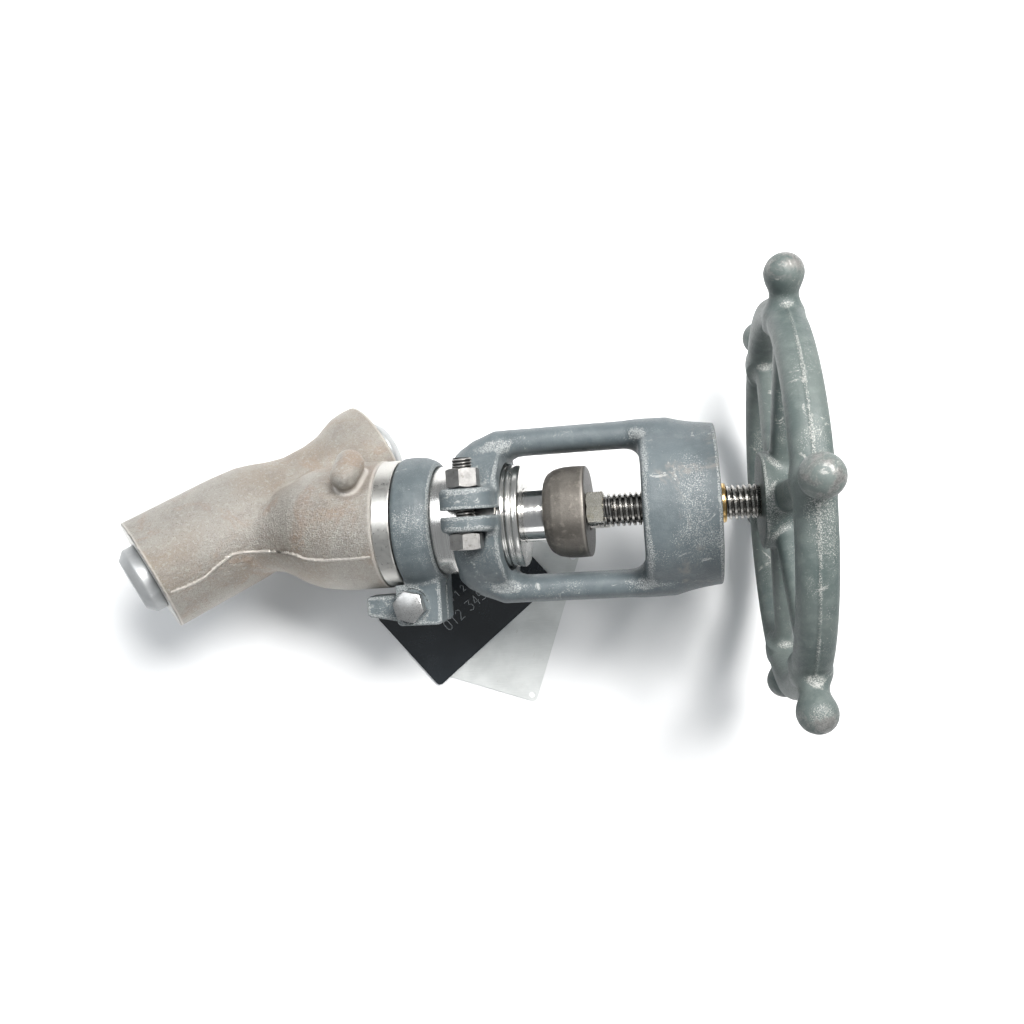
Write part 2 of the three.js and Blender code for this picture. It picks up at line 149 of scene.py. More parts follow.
def net(f, lo, hi, h):
    """Closed quad surface of f = 0, points relaxed along it and then set exactly on it."""
    lo, hi = np.asarray(lo, float), np.asarray(hi, float)
    dims = np.ceil((hi - lo) / h).astype(int) + 1
    ax = [lo[k] + h * np.arange(dims[k]) for k in range(3)]
    Y, Z = np.meshgrid(ax[1], ax[2], indexing="ij")
    D = np.empty(dims, np.float32)
    slab = max(1, int(400000 / Y.size))
    for i in range(0, dims[0], slab):
        xs = ax[0][i:i + slab]
        P = np.empty((len(xs), Y.size, 3))
        P[:, :, 0] = xs[:, None]
        P[:, :, 1] = Y.ravel()[None, :]
        P[:, :, 2] = Z.ravel()[None, :]
        D[i:i + len(xs)] = f(P.reshape(-1, 3)).reshape(len(xs), dims[1], dims[2])
    S = D < 0
    cnt = np.zeros(dims - 1, np.int8)
    corners = [(a, b, c) for a in (0, 1) for b in (0, 1) for c in (0, 1)]
    for a, b, c in corners:
        cnt += S[a:dims[0] - 1 + a, b:dims[1] - 1 + b, c:dims[2] - 1 + c]
    active = (cnt > 0) & (cnt < 8)
    cells = np.argwhere(active)
    index = np.full(dims - 1, -1, np.int64)
    index[active] = np.arange(len(cells))
    acc, num = np.zeros((len(cells), 3)), np.zeros(len(cells))
    for a in corners:
        for k in range(3):
            if a[k]:
                continue
            b = list(a)
            b[k] = 1
            ca, cb = cells + np.array(a), cells + np.array(b)
            da, db = D[ca[:, 0], ca[:, 1], ca[:, 2]], D[cb[:, 0], cb[:, 1], cb[:, 2]]
            m = (da < 0) != (db < 0)
            t = np.where(m, da / np.where(m, da - db, 1), 0)
            p = np.array(a, float)[None, :] + t[:, None] * (np.array(b, float) - np.array(a, float))[None, :]
            acc[m] += p[m]
            num[m] += 1
    V = lo + h * (cells + acc / np.maximum(num, 1)[:, None])
    quads = []
    for k in range(3):
        u, v = (k + 1) % 3, (k + 2) % 3
        s0 = [slice(None)] * 3
        s1 = [slice(None)] * 3
        s0[k], s1[k] = slice(0, dims[k] - 1), slice(1, dims[k])
        A, B = S[tuple(s0)], S[tuple(s1)]
        e = np.argwhere(A != B)
        e = e[(e[:, u] > 0) & (e[:, v] > 0) & (e[:, u] < dims[u] - 1) & (e[:, v] < dims[v] - 1)]
        inside = A[e[:, 0], e[:, 1], e[:, 2]]

        def at(du, dv):
            c = e.copy()
            c[:, u] += du
            c[:, v] += dv
            return index[c[:, 0], c[:, 1], c[:, 2]]
        q = np.stack([at(-1, -1), at(0, -1), at(0, 0), at(-1, 0)], 1)
        q[~inside] = q[~inside][:, ::-1]
        quads.append(q)
    Q = np.concatenate(quads)
    Q = Q[(Q >= 0).all(1)]
    E = np.concatenate([Q[:, [0, 1]], Q[:, [1, 2]], Q[:, [2, 3]], Q[:, [3, 0]]])
    deg = np.bincount(E.ravel(), minlength=len(V)).astype(float)

    def project(V):
        d = f(V)
        g = gradient(f, V)
        n2 = np.maximum((g * g).sum(1), 0.05)
        step = g * (d / n2)[:, None]
        ln = np.linalg.norm(step, axis=1)
        return V - step * np.minimum(1, 0.7 * h / np.maximum(ln, 1e-9))[:, None]
    V = project(V)
    for _ in range(3):
        a = np.zeros_like(V)
        for k in range(3):
            a[:, k] = np.bincount(E[:, 0], V[E[:, 1], k], len(V)) + np.bincount(E[:, 1], V[E[:, 0], k], len(V))
        V = V + 0.6 * (a / np.maximum(deg, 1)[:, None] - V)
        V = project(V)
    V = project(V)
    return V, Q


def attribute(me, name, values):
    a = me.attributes.new(name, "FLOAT", "POINT")
    a.data.foreach_set("value", np.asarray(values, np.float32))


def make_object(name, V, faces, normals=None, attrs=None, smooth=True, sharp=None):
    me = bpy.data.meshes.new(name)
    V = np.asarray(V, float)
    if isinstance(faces, np.ndarray):
        me.vertices.add(len(V))
        me.vertices.foreach_set("co", V.astype(np.float32).ravel())
        me.loops.add(faces.size)
        me.loops.foreach_set("vertex_index", faces.astype(np.int32).ravel())
        me.polygons.add(len(faces))
        me.polygons.foreach_set("loop_start", (np.arange(len(faces)) * 4).astype(np.int32))
        me.update(calc_edges=True)
        me.validate()
    else:
        me.from_pydata([tuple(v) for v in V], [], faces)
        me.update()
    for k, v in (attrs or {}).items():
        attribute(me, k, v)
    me.polygons.foreach_set("use_smooth", np.full(len(me.polygons), smooth))
    if sharp is not None:
        me.set_sharp_from_angle(angle=math.radians(sharp))
    if normals is not None:
        me.normals_split_custom_set_from_vertices([tuple(n) for n in normals])
    ob = bpy.data.objects.new(name, me)
    bpy.context.scene.collection.objects.link(ob)
    return ob


def finish_piece(ob, mat, body, slot, *nodes):
    ob.data.materials.clear()
    ob.data.materials.append(mat)
    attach(ob, body)
    if nodes:
        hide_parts(*nodes)
    return ob


def sdf_piece(name, f, lo, hi, h, mat, body, slot, nodes, mach=None):
    V, Q = net(f, lo, hi, h)
    n = gradient(f, V)
    n /= np.maximum(np.linalg.norm(n, axis=1), 1e-9)[:, None]
    edge = np.clip((f(V - 2.2 * n) + 2.2) / 2.2, 0, 1)
    # how closed in the surface is here; the materials darken it as painted shade in creases and hollows
    crease_shade = np.clip((4.0 - f(V + 4.0 * n)) / 4.0, 0, 1)
    nr = dir_row(n)
    # up, the upward part of the normal, lightens the paint on top faces as painted top light
    attrs = {"edge": edge, "crease_shade": crease_shade, "up": nr[:, 2], "mach": np.zeros(len(V)) if mach is None else mach(V, n)}
    ob = make_object(name, to_row(V), Q, normals=nr, attrs=attrs)
    return finish_piece(ob, mat, body, slot, *nodes)


# ---- turned parts -----------------------------------------------------------------
def basis(zdir, xhint=(1, 0, 0)):
    z = np.asarray(zdir, float)
    z = z / np.linalg.norm(z)
    h = np.asarray(xhint, float)
    if abs(h @ z) > 0.99:
        h = np.array([0.0, 1.0, 0.0])
    x = h - (h @ z) * z
    x /= np.linalg.norm(x)
    return np.stack([x, np.cross(z, x), z], 1)


def ease(profile, r=0.5):
    """A profile with each corner cut by a small two-step round."""
    out = []
    n = len(profile)
    for i in range(n):
        p, a, b = np.array(profile[i], float), np.array(profile[i - 1], float), np.array(profile[(i + 1) % n], float)
        if p[0] < 1e-6:
            out.append((0.0, p[1]))
            continue
        u, v = a - p, b - p
        lu, lv = np.linalg.norm(u), np.linalg.norm(v)
        if lu < 1e-9 or lv < 1e-9:
            continue
        u, v = u / lu, v / lv
        if u @ v < -0.9:
            out.append(tuple(p))
            continue
        k = min(r, 0.3 * lu, 0.3 * lv)
        out += [tuple(p + u * k), tuple(p + (u + v) * k * 0.29), tuple(p + v * k)]
    return out


def lathe(profile, seg=112, radius=None, closed=True):
    """Vertices, faces and profile length of a profile of (r, z) turned about Z. radius(theta, r, z) may reshape it."""
    V, F, S, rings = [], [], [], []
    s = 0.0
    prev = None
    th = 2 * np.pi * np.arange(seg) / seg
    for r, z in profile:
        if prev is not None:
            s += math.hypot(r - prev[0], z - prev[1])
        prev = (r, z)
        if r < 1e-6:
            rings.append([len(V)])
            V.append((0.0, 0.0, z))
            S.append(s)
        else:
            base = len(V)
            rings.append(list(range(base, base + seg)))
            rr, zz = np.full(seg, float(r)), np.full(seg, float(z))
            if radius is not None:
                rr, zz = radius(th, rr, zz)
            V += [(rr[i] * math.cos(th[i]), rr[i] * math.sin(th[i]), zz[i]) for i in range(seg)]
            S += [s] * seg
    n = len(rings)
    for i in range(n if closed else n - 1):
        A, B = rings[i], rings[(i + 1) % n]
        if len(A) == 1 and len(B) == 1:
            continue
        for k in range(seg):
            j = (k + 1) % seg
            if len(A) == 1:
                F.append((A[0], B[j], B[k]))
            elif len(B) == 1:
                F.append((A[k], A[j], B[0]))
            else:
                F.append((A[k], A[j], B[j], B[k]))
    return np.array(V), F, np.array(S)


def helix(z0, z1, rc, rr, pitch, acme=True, seg=72):
    """Closed threaded rod from z0 to z1."""
    offs = [(0.0, rr), (0.34, rr), (0.49, rc), (0.85, rc)] if acme else [(0.0, rr), (0.10, rr), (0.46, rc), (0.60, rc)]
    m = len(offs)
    rows = []
    k = -1
    while (k - 1) * pitch < z1 - z0:
        rows += [(k * pitch + o * pitch, r) for o, r in offs]
        k += 1
    R = len(rows)
    V = np.zeros((R, seg, 3))
    S = np.zeros((R, seg))
    for i in range(seg):
        a = 2 * math.pi * i / seg
        for j, (u, r) in enumerate(rows):
            z = z0 + u + (i / seg) * pitch
            if z <= z0 or z >= z1:
                r = rr
            z = min(max(z, z0), z1)
            V[j, i] = (r * math.cos(a), r * math.sin(a), z)
            S[j, i] = (r - rr) / max(rc - rr, 1e-6)
    F = []
    ix = lambda j, i: j * seg + i
    for j in range(R - 1):
        for i in range(seg - 1):
            F.append((ix(j, i), ix(j, i + 1), ix(j + 1, i + 1), ix(j + 1, i)))
        if j + m + 1 < R:
            F.append((ix(j, seg - 1), ix(j + m, 0), ix(j + m + 1, 0), ix(j + 1, seg - 1)))
    V = V.reshape(-1, 3)
    S = S.ravel()
    c0, c1 = len(V), len(V) + 1
    V = np.vstack([V, [[0, 0, z0], [0, 0, z1]]])
    S = np.append(S, [0, 0])
    for i in range(seg):
        j = (i + 1) % seg
        F.append((c0, ix(0, j), ix(0, i)))
        F.append((c1, ix(R - 1, i), ix(R - 1, j)))
    return V, F, S


def assemble(name, parts, origin=(0, 0, 0), zdir=(0, 0, 1), xhint=(1, 0, 0), sharp=28, table=False):
    """parts is a list of (V, F, S, kind). kind 0 is a turned face, 1 a thread."""
    Vs, Fs, Ss, Ts, rad = [], [], [], [], []
    off = 0
    for V, F, S, kind in parts:
        Vs.append(V)
        Fs += [tuple(i + off for i in f) for f in F]
        Ss.append(S if kind == 0 else np.zeros(len(V)))
        Ts.append(S if kind == 1 else np.full(len(V), -1.0))
        off += len(V)
    V = np.vstack(Vs)
    B = basis(zdir, xhint)
    W = V @ B.T + np.asarray(origin, float)
    ob = make_object(name, to_row(W), Fs, attrs={
        "s": np.concatenate(Ss) * 0.001, "crest": np.concatenate(Ts),
        "lr": np.hypot(V[:, 0], V[:, 1]) * 0.001, "lz": V[:, 2] * 0.001})
    bm = bmesh.new()
    bm.from_mesh(ob.data)
    bmesh.ops.remove_doubles(bm, verts=bm.verts, dist=2e-6)
    bmesh.ops.dissolve_degenerate(bm, edges=bm.edges, dist=1e-6)
    bmesh.ops.recalc_face_normals(bm, faces=bm.faces)
    bm.to_mesh(ob.data)
    bm.free()
    ob.data.polygons.foreach_set("use_smooth", np.full(len(ob.data.polygons), True))
    ob.data.set_sharp_from_angle(angle=math.radians(sharp))
    return ob


def hexed(af, z0, z1, bore=0.0, both=True, washer=0.0):
    """Hexagon nut or bolt head, corners chamfered by a cone."""
    rc = 0.475 * af
    hexr = lambda th: af / 2 / np.cos((th + math.pi / 6) % (math.pi / 3) - math.pi / 6)

    def radius(sign, zf):
        def g(th, r, z):
            out = r > rc + 0.01
            hr = hexr(th)
            rr = np.where(out, hr, r)
            zz = np.where(out & (np.abs(z - zf) < 1e-3), zf + sign * (hr - rc) * 0.5, z)
            return rr, zz
        return g
    big = af
    seg = 96
    b = bore
    prof = [(rc, z0), (big, z0), (big, z1), (rc, z1)]
    if b > 0:
        prof += [(b + 0.7, z1), (b, z1 - 0.7), (b, z0 + 0.7), (b + 0.7, z0)]
    else:
        prof += [(0.0, z1), (0.0, z0)]

    def both_ends(th, r, z):
        if r[0] > rc + 0.01:
            hr = hexr(th)
            zf = z[0]
            if abs(zf - z1) < 1e-6:
                return hr, zf - (hr - rc) * 0.5
            if abs(zf - z0) < 1e-6 and both:
                return hr, zf + (hr - rc) * 0.5
            return hr, z
        return r, z
    return lathe(prof, seg, both_ends)


# ---- materials --------------------------------------------------------------------
class Mat:
    def __init__(self, name, **plain):
        self.m = bpy.data.materials.new(name)
        self.m.use_nodes = True
        self.t = self.m.node_tree
        self.p = self.t.nodes["Principled BSDF"]
        self.coord = self.t.nodes.new("ShaderNodeTexCoord")
        for k, v in plain.items():
            self.p.inputs[k.replace("_", " ")].default_value = v

    def node(self, kind, **props):
        n = self.t.nodes.new(kind)
        for k, v in props.items():
            setattr(n, k, v)
        return n

    def link(self, a, b):
        self.t.links.new(a, b)

    def put(self, socket, value):
        if hasattr(value, "is_output"):
            self.link(value, socket)
        else:
            socket.default_value = value

    def attr(self, name):
        n = self.node("ShaderNodeAttribute", attribute_type="GEOMETRY")
        n.attribute_name = name
        return n.outputs["Fac"]

    def noise(self, scale, detail=4.0, rough=0.6, warp=0.0, stretch=None):
        n = self.node("ShaderNodeTexNoise")
        n.inputs["Scale"].default_value = scale
        n.inputs["Detail"].default_value = detail
        n.inputs["Roughness"].default_value = rough
        n.inputs["Distortion"].default_value = warp
        src = self.coord.outputs["Object"]
        if stretch is not None:
            mp = self.node("ShaderNodeMapping")
            mp.inputs["Rotation"].default_value = stretch[0]
            mp.inputs["Scale"].default_value = stretch[1]
            self.link(src, mp.inputs["Vector"])
            src = mp.outputs["Vector"]
        self.link(src, n.inputs["Vector"])
        return n.outputs["Fac"]

    def line_noise(self, value, scale, detail=3.0, rough=0.7):
        """Noise along one number only: the marks a tool leaves round a turned face."""
        n = self.node("ShaderNodeTexNoise", noise_dimensions="1D")
        n.inputs["Scale"].default_value = scale
        n.inputs["Detail"].default_value = detail
        n.inputs["Roughness"].default_value = rough
        self.link(value, n.inputs["W"])
        return n.outputs["Fac"]

    def cells(self, scale, feature="F1", rand=1.0):
        n = self.node("ShaderNodeTexVoronoi", feature=feature)
        n.inputs["Scale"].default_value = scale
        n.inputs["Randomness"].default_value = rand
        self.link(self.coord.outputs["Object"], n.inputs["Vector"])
        return n.outputs["Distance"]

    def band(self, value, lo, hi, a=0.0, b=1.0, smooth=True):
        n = self.node("ShaderNodeMapRange", interpolation_type="SMOOTHSTEP" if smooth else "LINEAR")
        self.link(value, n.inputs["Value"])
        n.inputs["From Min"].default_value = lo
        n.inputs["From Max"].default_value = hi
        n.inputs["To Min"].default_value = a
        n.inputs["To Max"].default_value = b
        return n.outputs["Result"]

    def math(self, op, a, b=None, clamp=False):
        n = self.node("ShaderNodeMath", operation=op, use_clamp=clamp)
        self.put(n.inputs[0], a)
        if b is not None:
            self.put(n.inputs[1], b)
        return n.outputs[0]

    def mix(self, fac, a, b):
        n = self.node("ShaderNodeMix", data_type="RGBA")
        self.put(n.inputs[0], fac)
        self.put(n.inputs[6], a if hasattr(a, "is_output") else (*a, 1.0))
        self.put(n.inputs[7], b if hasattr(b, "is_output") else (*b, 1.0))
        return n.outputs[2]

    def bump(self, height, strength, distance, under=None):
        n = self.node("ShaderNodeBump")
        n.inputs["Strength"].default_value = strength
        n.inputs["Distance"].default_value = distance
        self.link(height, n.inputs["Height"])
        if under is not None:
            self.link(under, n.inputs["Normal"])
        return n.outputs["Normal"]

    def out(self, color=None, rough=None, metal=None, normal=None):
        for name, v in (("Base Color", color), ("Roughness", rough), ("Metallic", metal), ("Normal", normal)):
            if v is not None:
                self.put(self.p.inputs[name], v)
        return self.m


def forged_stainless():
    m = Mat("forged_stainless", Metallic=1.0)
    big, mid, small = m.noise(16, 4, 0.6, 0.6), m.noise(75, 5, 0.65), m.noise(520, 4, 0.7)
    speck, mach, edge, crease_shade = m.noise(1500, 3, 0.7), m.attr("mach"), m.attr("edge"), m.attr("crease_shade")
    tint = m.band(big, 0.42, 0.66)
    c = m.mix(tint, (0.400, 0.380, 0.348), (0.350, 0.306, 0.258))
    c = m.mix(m.band(mid, 0.45, 0.72, 0.0, 0.6), c, (0.300, 0.275, 0.246))
    c = m.mix(m.band(m.noise(30, 4, 0.6, 1.0), 0.52, 0.68, 0.0, 0.6), c, (0.365, 0.280, 0.218))
    c = m.mix(m.band(small, 0.50, 0.66, 0.0, 0.50), c, (0.56, 0.545, 0.515))
    c = m.mix(m.band(speck, 0.56, 0.66, 0.0, 0.60), c, (0.13, 0.105, 0.085))
    # painted shade: darker brown where the surface closes into creases and hollows
    c = m.mix(m.band(crease_shade, 0.10, 0.60, 0.0, 0.45), c, (0.20, 0.165, 0.14))
    c = m.mix(m.band(edge, 0.08, 0.40, 0.0, 0.65), c, (0.66, 0.63, 0.59))
    c = m.mix(mach, c, m.mix(m.noise(40, 3), (0.62, 0.61, 0.58), (0.52, 0.505, 0.475)))
    r = m.band(small, 0.3, 0.7, 0.36, 0.54)
    r = m.math("SUBTRACT", r, m.math("MULTIPLY", mach, 0.10))
    keep = m.math("SUBTRACT", 1.0, mach)
    dents = m.math("MULTIPLY", m.cells(330), keep)
    b = m.bump(m.math("MULTIPLY", m.noise(300, 6, 0.72), keep), 0.90, 0.0016)
    b = m.bump(dents, 0.10, 0.0004, b)
    b = m.bump(m.math("MULTIPLY", m.noise(1100, 4, 0.75), keep), 0.95, 0.00075, b)
    return m.out(c, r, None, b)


def paint(name, base, dark, light, bare, speck_edge, knob=0.0):
    """Semi-matt paint over rough casting: rubbed to grey on the ridges, thin brownish rubs on flats. The grey is
    weighted to upward faces, which is painted top light, and creases are darkened as painted shade.
    """
    m = Mat(name, Metallic=0.0)
    m.p.inputs["Specular IOR Level"].default_value = 0.42
    up, edge, crease_shade, mach = m.attr("up"), m.attr("edge"), m.attr("crease_shade"), m.attr("mach")
    big, mid, fine = m.noise(22, 4, 0.6), m.noise(130, 5, 0.65), m.noise(900, 4, 0.75)
    c = m.mix(m.band(big, 0.35, 0.65), base, dark)
    c = m.mix(m.band(mid, 0.42, 0.72, 0.0, 0.5), c, light)
    # painted shade: darker paint in creases and hollows
    c = m.mix(m.band(crease_shade, 0.15, 0.7, 0.0, 0.5), c, tuple(0.6 * v for v in dark))
    # grey rub on the ridges is wear; its weighting to upward faces, and the zone on upward faces, are painted top
    # light
    ridge = m.math("MULTIPLY", m.band(edge, 0.05, 0.30, 0.0, 1.0), m.band(up, -0.2, 0.7, 0.25, 1.0))
    zone = m.math("MULTIPLY", m.band(m.noise(30, 3, 0.6), 0.36, 0.62), m.band(up, 0.45, 0.95))
    want = m.math("ADD", m.math("MULTIPLY", ridge, speck_edge), m.math("MULTIPLY", zone, 0.80), clamp=True)
    grain = m.noise(1500, 3, 0.8)
    thr = m.math("SUBTRACT", 0.70, m.math("MULTIPLY", want, 0.22))
    wear_and_top_light = m.node("ShaderNodeMapRange", interpolation_type="SMOOTHSTEP")
    m.link(grain, wear_and_top_light.inputs["Value"])
    m.link(thr, wear_and_top_light.inputs["From Min"])
    m.link(m.math("ADD", thr, 0.07), wear_and_top_light.inputs["From Max"])
    speckle = m.math("MULTIPLY", wear_and_top_light.outputs["Result"], 0.75)
    c = m.mix(speckle, c, bare)
    # bare-grey patches on upward faces only: wear together with painted top light
    patch = m.math("MULTIPLY", m.band(m.noise(52, 8, 0.78, 1.0), 0.600, 0.630), m.band(up, 0.25, 0.8))
    c = m.mix(m.math("MULTIPLY", patch, 0.72), c, tuple(0.85 * v for v in bare))
    rub = m.math("MULTIPLY", m.band(m.noise(20, 5, 0.7, 0.5), 0.56, 0.66), m.band(mach, 0.4, 1.0))
    c = m.mix(m.math("MULTIPLY", rub, 0.55), c, (0.20, 0.185, 0.17))
    shine = 0.0
    if knob:
        # bare metal on the knobs: hand wear, and painted highlight where the knob mask favours the upward side
        shine = m.math("MULTIPLY", m.math("MULTIPLY", mach, m.band(m.noise(95, 6, 0.72, 0.5), 0.44, 0.56)), knob)
        c = m.mix(shine, c, m.mix(m.band(fine, 0.40, 0.62), (0.30, 0.295, 0.285), (0.17, 0.168, 0.162)))
    r = m.math("SUBTRACT", m.band(fine, 0.3, 0.7, 0.40, 0.56), m.math("MULTIPLY", speckle, 0.12))
    b = m.bump(m.noise(240, 5, 0.6), 0.28, 0.0007)
    b = m.bump(fine, 0.60, 0.00042, b)
    b = m.bump(wear_and_top_light.outputs["Result"], 0.25, 0.00012, b)
    if knob:
        r = m.math("SUBTRACT", r, m.math("MULTIPLY", shine, 0.14))
        return m.out(c, r, m.math("MULTIPLY", shine, 0.75), b)
    return m.out(c, r, None, b)


def turned(name, a, b_, rough, marks=0.35, scale=2600.0, tint=None, smear=0.0, metal=1.0, fine=0.6):
    """Turned metal: lines round the axis, faint handling smears."""
    m = Mat(name, Metallic=metal)
    s = m.attr("s")
    lines = m.line_noise(s, scale, 4, fine)
    wide = m.line_noise(s, scale / 12, 2)
    cloud = m.noise(60, 4, 0.6)
    c = m.mix(m.band(lines, 0.3, 0.7), a, b_)
    c = m.mix(m.band(cloud, 0.45, 0.75, 0.0, 0.35 + smear), c, tint or tuple(0.72 * v for v in a))
    r = m.math("ADD", m.band(wide, 0.35, 0.65, rough * 0.8, rough * 1.25), m.band(cloud, 0.45, 0.7, 0.0, 0.08 + 0.2 * smear))
    b = m.bump(lines, marks, 0.00009)
    b = m.bump(m.noise(900, 3), 0.10, 0.0001, b)
    return m.out(c, r, None, b)


def bolt_metal(name, a, b_, rough, stain, metal=0.95):
    """Plated or dull bolt steel, dark in the thread roots as painted shade, scuffed."""
    m = Mat(name, Metallic=metal)
    crest = m.attr("crest")
    root_shade = m.math("MULTIPLY", m.band(crest, -0.01, 0.0, 0.0, 1.0, False), m.band(crest, 0.0, 0.7, 1.0, 0.0))
    cloud, grain = m.noise(170, 5, 0.65), m.noise(1400, 4, 0.7)
    c = m.mix(m.band(cloud, 0.35, 0.7), a, b_)
    c = m.mix(m.band(m.noise(320, 4, 0.7), 0.56, 0.72, 0.0, 0.7), c, stain)
    # painted shade in the thread roots
    c = m.mix(root_shade, c, tuple(0.10 * v for v in a))
    r = m.band(grain, 0.3, 0.7, rough * 0.85, rough * 1.3)
    b = m.bump(m.line_noise(m.attr("lr"), 2600, 3), 0.22, 0.00008)
    b = m.bump(grain, 0.25, 0.00012, b)
    b = m.bump(cloud, 0.2, 0.0004, b)
    return m.out(c, r, None, b)


def stem_metal():
    m = Mat("stem_steel", Metallic=1.0)
    crest = m.attr("crest")
    root_shade = m.math("MULTIPLY", m.band(crest, -0.01, 0.0, 0.0, 1.0, False), m.band(crest, 0.1, 0.95, 1.0, 0.0))
    cloud, lines = m.noise(150, 5, 0.65), m.line_noise(m.attr("lz"), 3000, 3)
    c = m.mix(m.band(cloud, 0.35, 0.68), (0.44, 0.425, 0.40), (0.30, 0.285, 0.265))
    c = m.mix(m.band(lines, 0.35, 0.7, 0.0, 0.4), c, (0.68, 0.66, 0.62))
    # painted shade in the thread roots
    c = m.mix(m.math("MULTIPLY", root_shade, 0.80), c, (0.045, 0.042, 0.038))
    c = m.mix(m.band(m.noise(380, 4), 0.58, 0.7, 0.0, 0.55), c, (0.10, 0.085, 0.07))
    r = m.band(m.noise(700, 3), 0.3, 0.7, 0.16, 0.34)
    b = m.bump(lines, 0.25, 0.0001)
    return m.out(c, r, None, b)


def dark_forging():
    m = Mat("dark_forging", Metallic=0.75)
    big, mid, fine = m.noise(38, 4, 0.6, 0.4), m.noise(190, 5, 0.65), m.noise(1200, 4, 0.75)
    edge, mach = m.attr("edge"), m.attr("mach")
    c = m.mix(m.band(big, 0.35, 0.68), (0.150, 0.138, 0.123), (0.090, 0.082, 0.073))
    c = m.mix(m.band(mid, 0.50, 0.72, 0.0, 0.55), c, (0.27, 0.245, 0.215))
    c = m.mix(m.band(fine, 0.56, 0.7, 0.0, 0.5), c, (0.060, 0.052, 0.046))
    c = m.mix(m.band(edge, 0.06, 0.4, 0.0, 0.45), c, (0.42, 0.39, 0.35))
    c = m.mix(m.math("MULTIPLY", mach, 0.8), c, (0.075, 0.070, 0.066))
    r = m.math("SUBTRACT", m.band(fine, 0.3, 0.7, 0.46, 0.66), m.math("MULTIPLY", mach, 0.14))
    b = m.bump(mid, 0.4, 0.0007)
    b = m.bump(fine, 0.4, 0.00025, b)
    return m.out(c, r, None, b)


def sheet_metal(name, a, b_, rough, metal, streak, coat=0.0, amount=1.0, stain=None):
    m = Mat(name, Metallic=metal)
    if coat:
        m.p.inputs["Coat Weight"].default_value = coat
        m.p.inputs["Coat Roughness"].default_value = 0.12
    cloud = m.noise(30, 5, 0.6, 0.3)
    lines = m.noise(60, 5, 0.7, 0.0, ((0, 0, streak), (1.0, 26.0, 1.0)))
    scr = m.noise(160, 4, 0.8, 0.4, ((0, 0, streak + 0.9), (0.35, 8.0, 1.0)))
    c = m.mix(m.band(cloud, 0.35, 0.7), a, b_)
    c = m.mix(m.band(lines, 0.45, 0.75, 0.0, 0.35 * amount), c, tuple(min(1.0, 1.35 * v + 0.01) for v in a))
    c = m.mix(m.band(scr, 0.70, 0.78, 0.0, 0.5 * amount), c, tuple(min(1.0, 1.5 * v + 0.12) for v in a))
    if stain:
        c = m.mix(m.band(m.noise(95, 7, 0.75, 0.8), 0.62, 0.72, 0.0, 0.55), c, stain)
    r = m.band(lines, 0.3, 0.7, rough * 0.8, rough * 1.3)
    b = m.bump(lines, 0.12 * amount, 0.0001)
    b = m.bump(cloud, 0.15, 0.0012, b)
    return m.out(c, r, None, b)


def plastic_cap():
    m = Mat("grey_plastic", Metallic=0.55)
    cloud, fine, s = m.noise(70, 4, 0.6), m.noise(1500, 4, 0.7), m.attr("s")
    c = m.mix(m.band(cloud, 0.35, 0.7), (0.42, 0.43, 0.435), (0.35, 0.36, 0.365))
    c = m.mix(m.band(m.noise(210, 5, 0.7, 0.8), 0.58, 0.70, 0.0, 0.45), c, (0.52, 0.53, 0.535))
    r = m.band(fine, 0.3, 0.7, 0.34, 0.50)
    b = m.bump(m.line_noise(s, 1500, 3), 0.2, 0.00008)
    b = m.bump(fine, 0.25, 0.00012, b)
    return m.out(c, r, None, b)


def graphite():
    m = Mat("graphite", Metallic=0.1)
    c = m.mix(m.band(m.noise(600, 4), 0.35, 0.7), (0.030, 0.031, 0.034), (0.075, 0.075, 0.080))
    return m.out(c, m.band(m.noise(900), 0.3, 0.7, 0.55, 0.8), None, m.bump(m.cells(900), 0.4, 0.0003))


def engraving():
    m = Mat("engraved_fill", Metallic=0.2)
    c = m.mix(m.band(m.noise(900, 3), 0.40, 0.7), (0.42, 0.44, 0.45), (0.24, 0.26, 0.27))
    return m.out(c, m.band(m.noise(700), 0.3, 0.7, 0.45, 0.7), None, m.bump(m.noise(1500), 0.2, 0.0001))


M_FORGE = forged_stainless()
M_BLUE = paint("blue_grey_paint", (0.092, 0.112, 0.121), (0.070, 0.087, 0.095), (0.124, 0.146, 0.153), (0.42, 0.43, 0.42), 1.0)
M_GREEN = paint("green_grey_paint", (0.094, 0.114, 0.108), (0.064, 0.084, 0.081), (0.134, 0.157, 0.148), (0.40, 0.40, 0.38), 0.85, 0.8)
M_TURNED = turned("turned_stainless", (0.66, 0.645, 0.62), (0.80, 0.79, 0.765), 0.20, 0.40, 1700.0)
M_POLISH = turned("polished_stainless", (0.70, 0.69, 0.675), (0.80, 0.79, 0.78), 0.095, 0.16, 2400.0)
M_FACING = turned("hard_facing", (0.62, 0.62, 0.61), (0.74, 0.74, 0.73), 0.16, 0.22, 2600.0)
M_BOLT = bolt_metal("bolt_steel", (0.36, 0.355, 0.345), (0.25, 0.245, 0.24), 0.34, (0.14, 0.125, 0.11))
M_HEAD = bolt_metal("faced_bolt_steel", (0.46, 0.46, 0.455), (0.36, 0.36, 0.355), 0.30, (0.24, 0.235, 0.22))
M_ZINC = bolt_metal("plated_steel", (0.66, 0.635, 0.57), (0.55, 0.52, 0.44), 0.24, (0.45, 0.40, 0.27))
M_STEM = stem_metal()
M_DARK = dark_forging()
M_BRONZE = turned("bronze", (0.56, 0.37, 0.155), (0.68, 0.47, 0.21), 0.26, 0.3, 1800.0, (0.30, 0.19, 0.075), 0.2)
M_CAP = plastic_cap()
M_GRAPH = graphite()
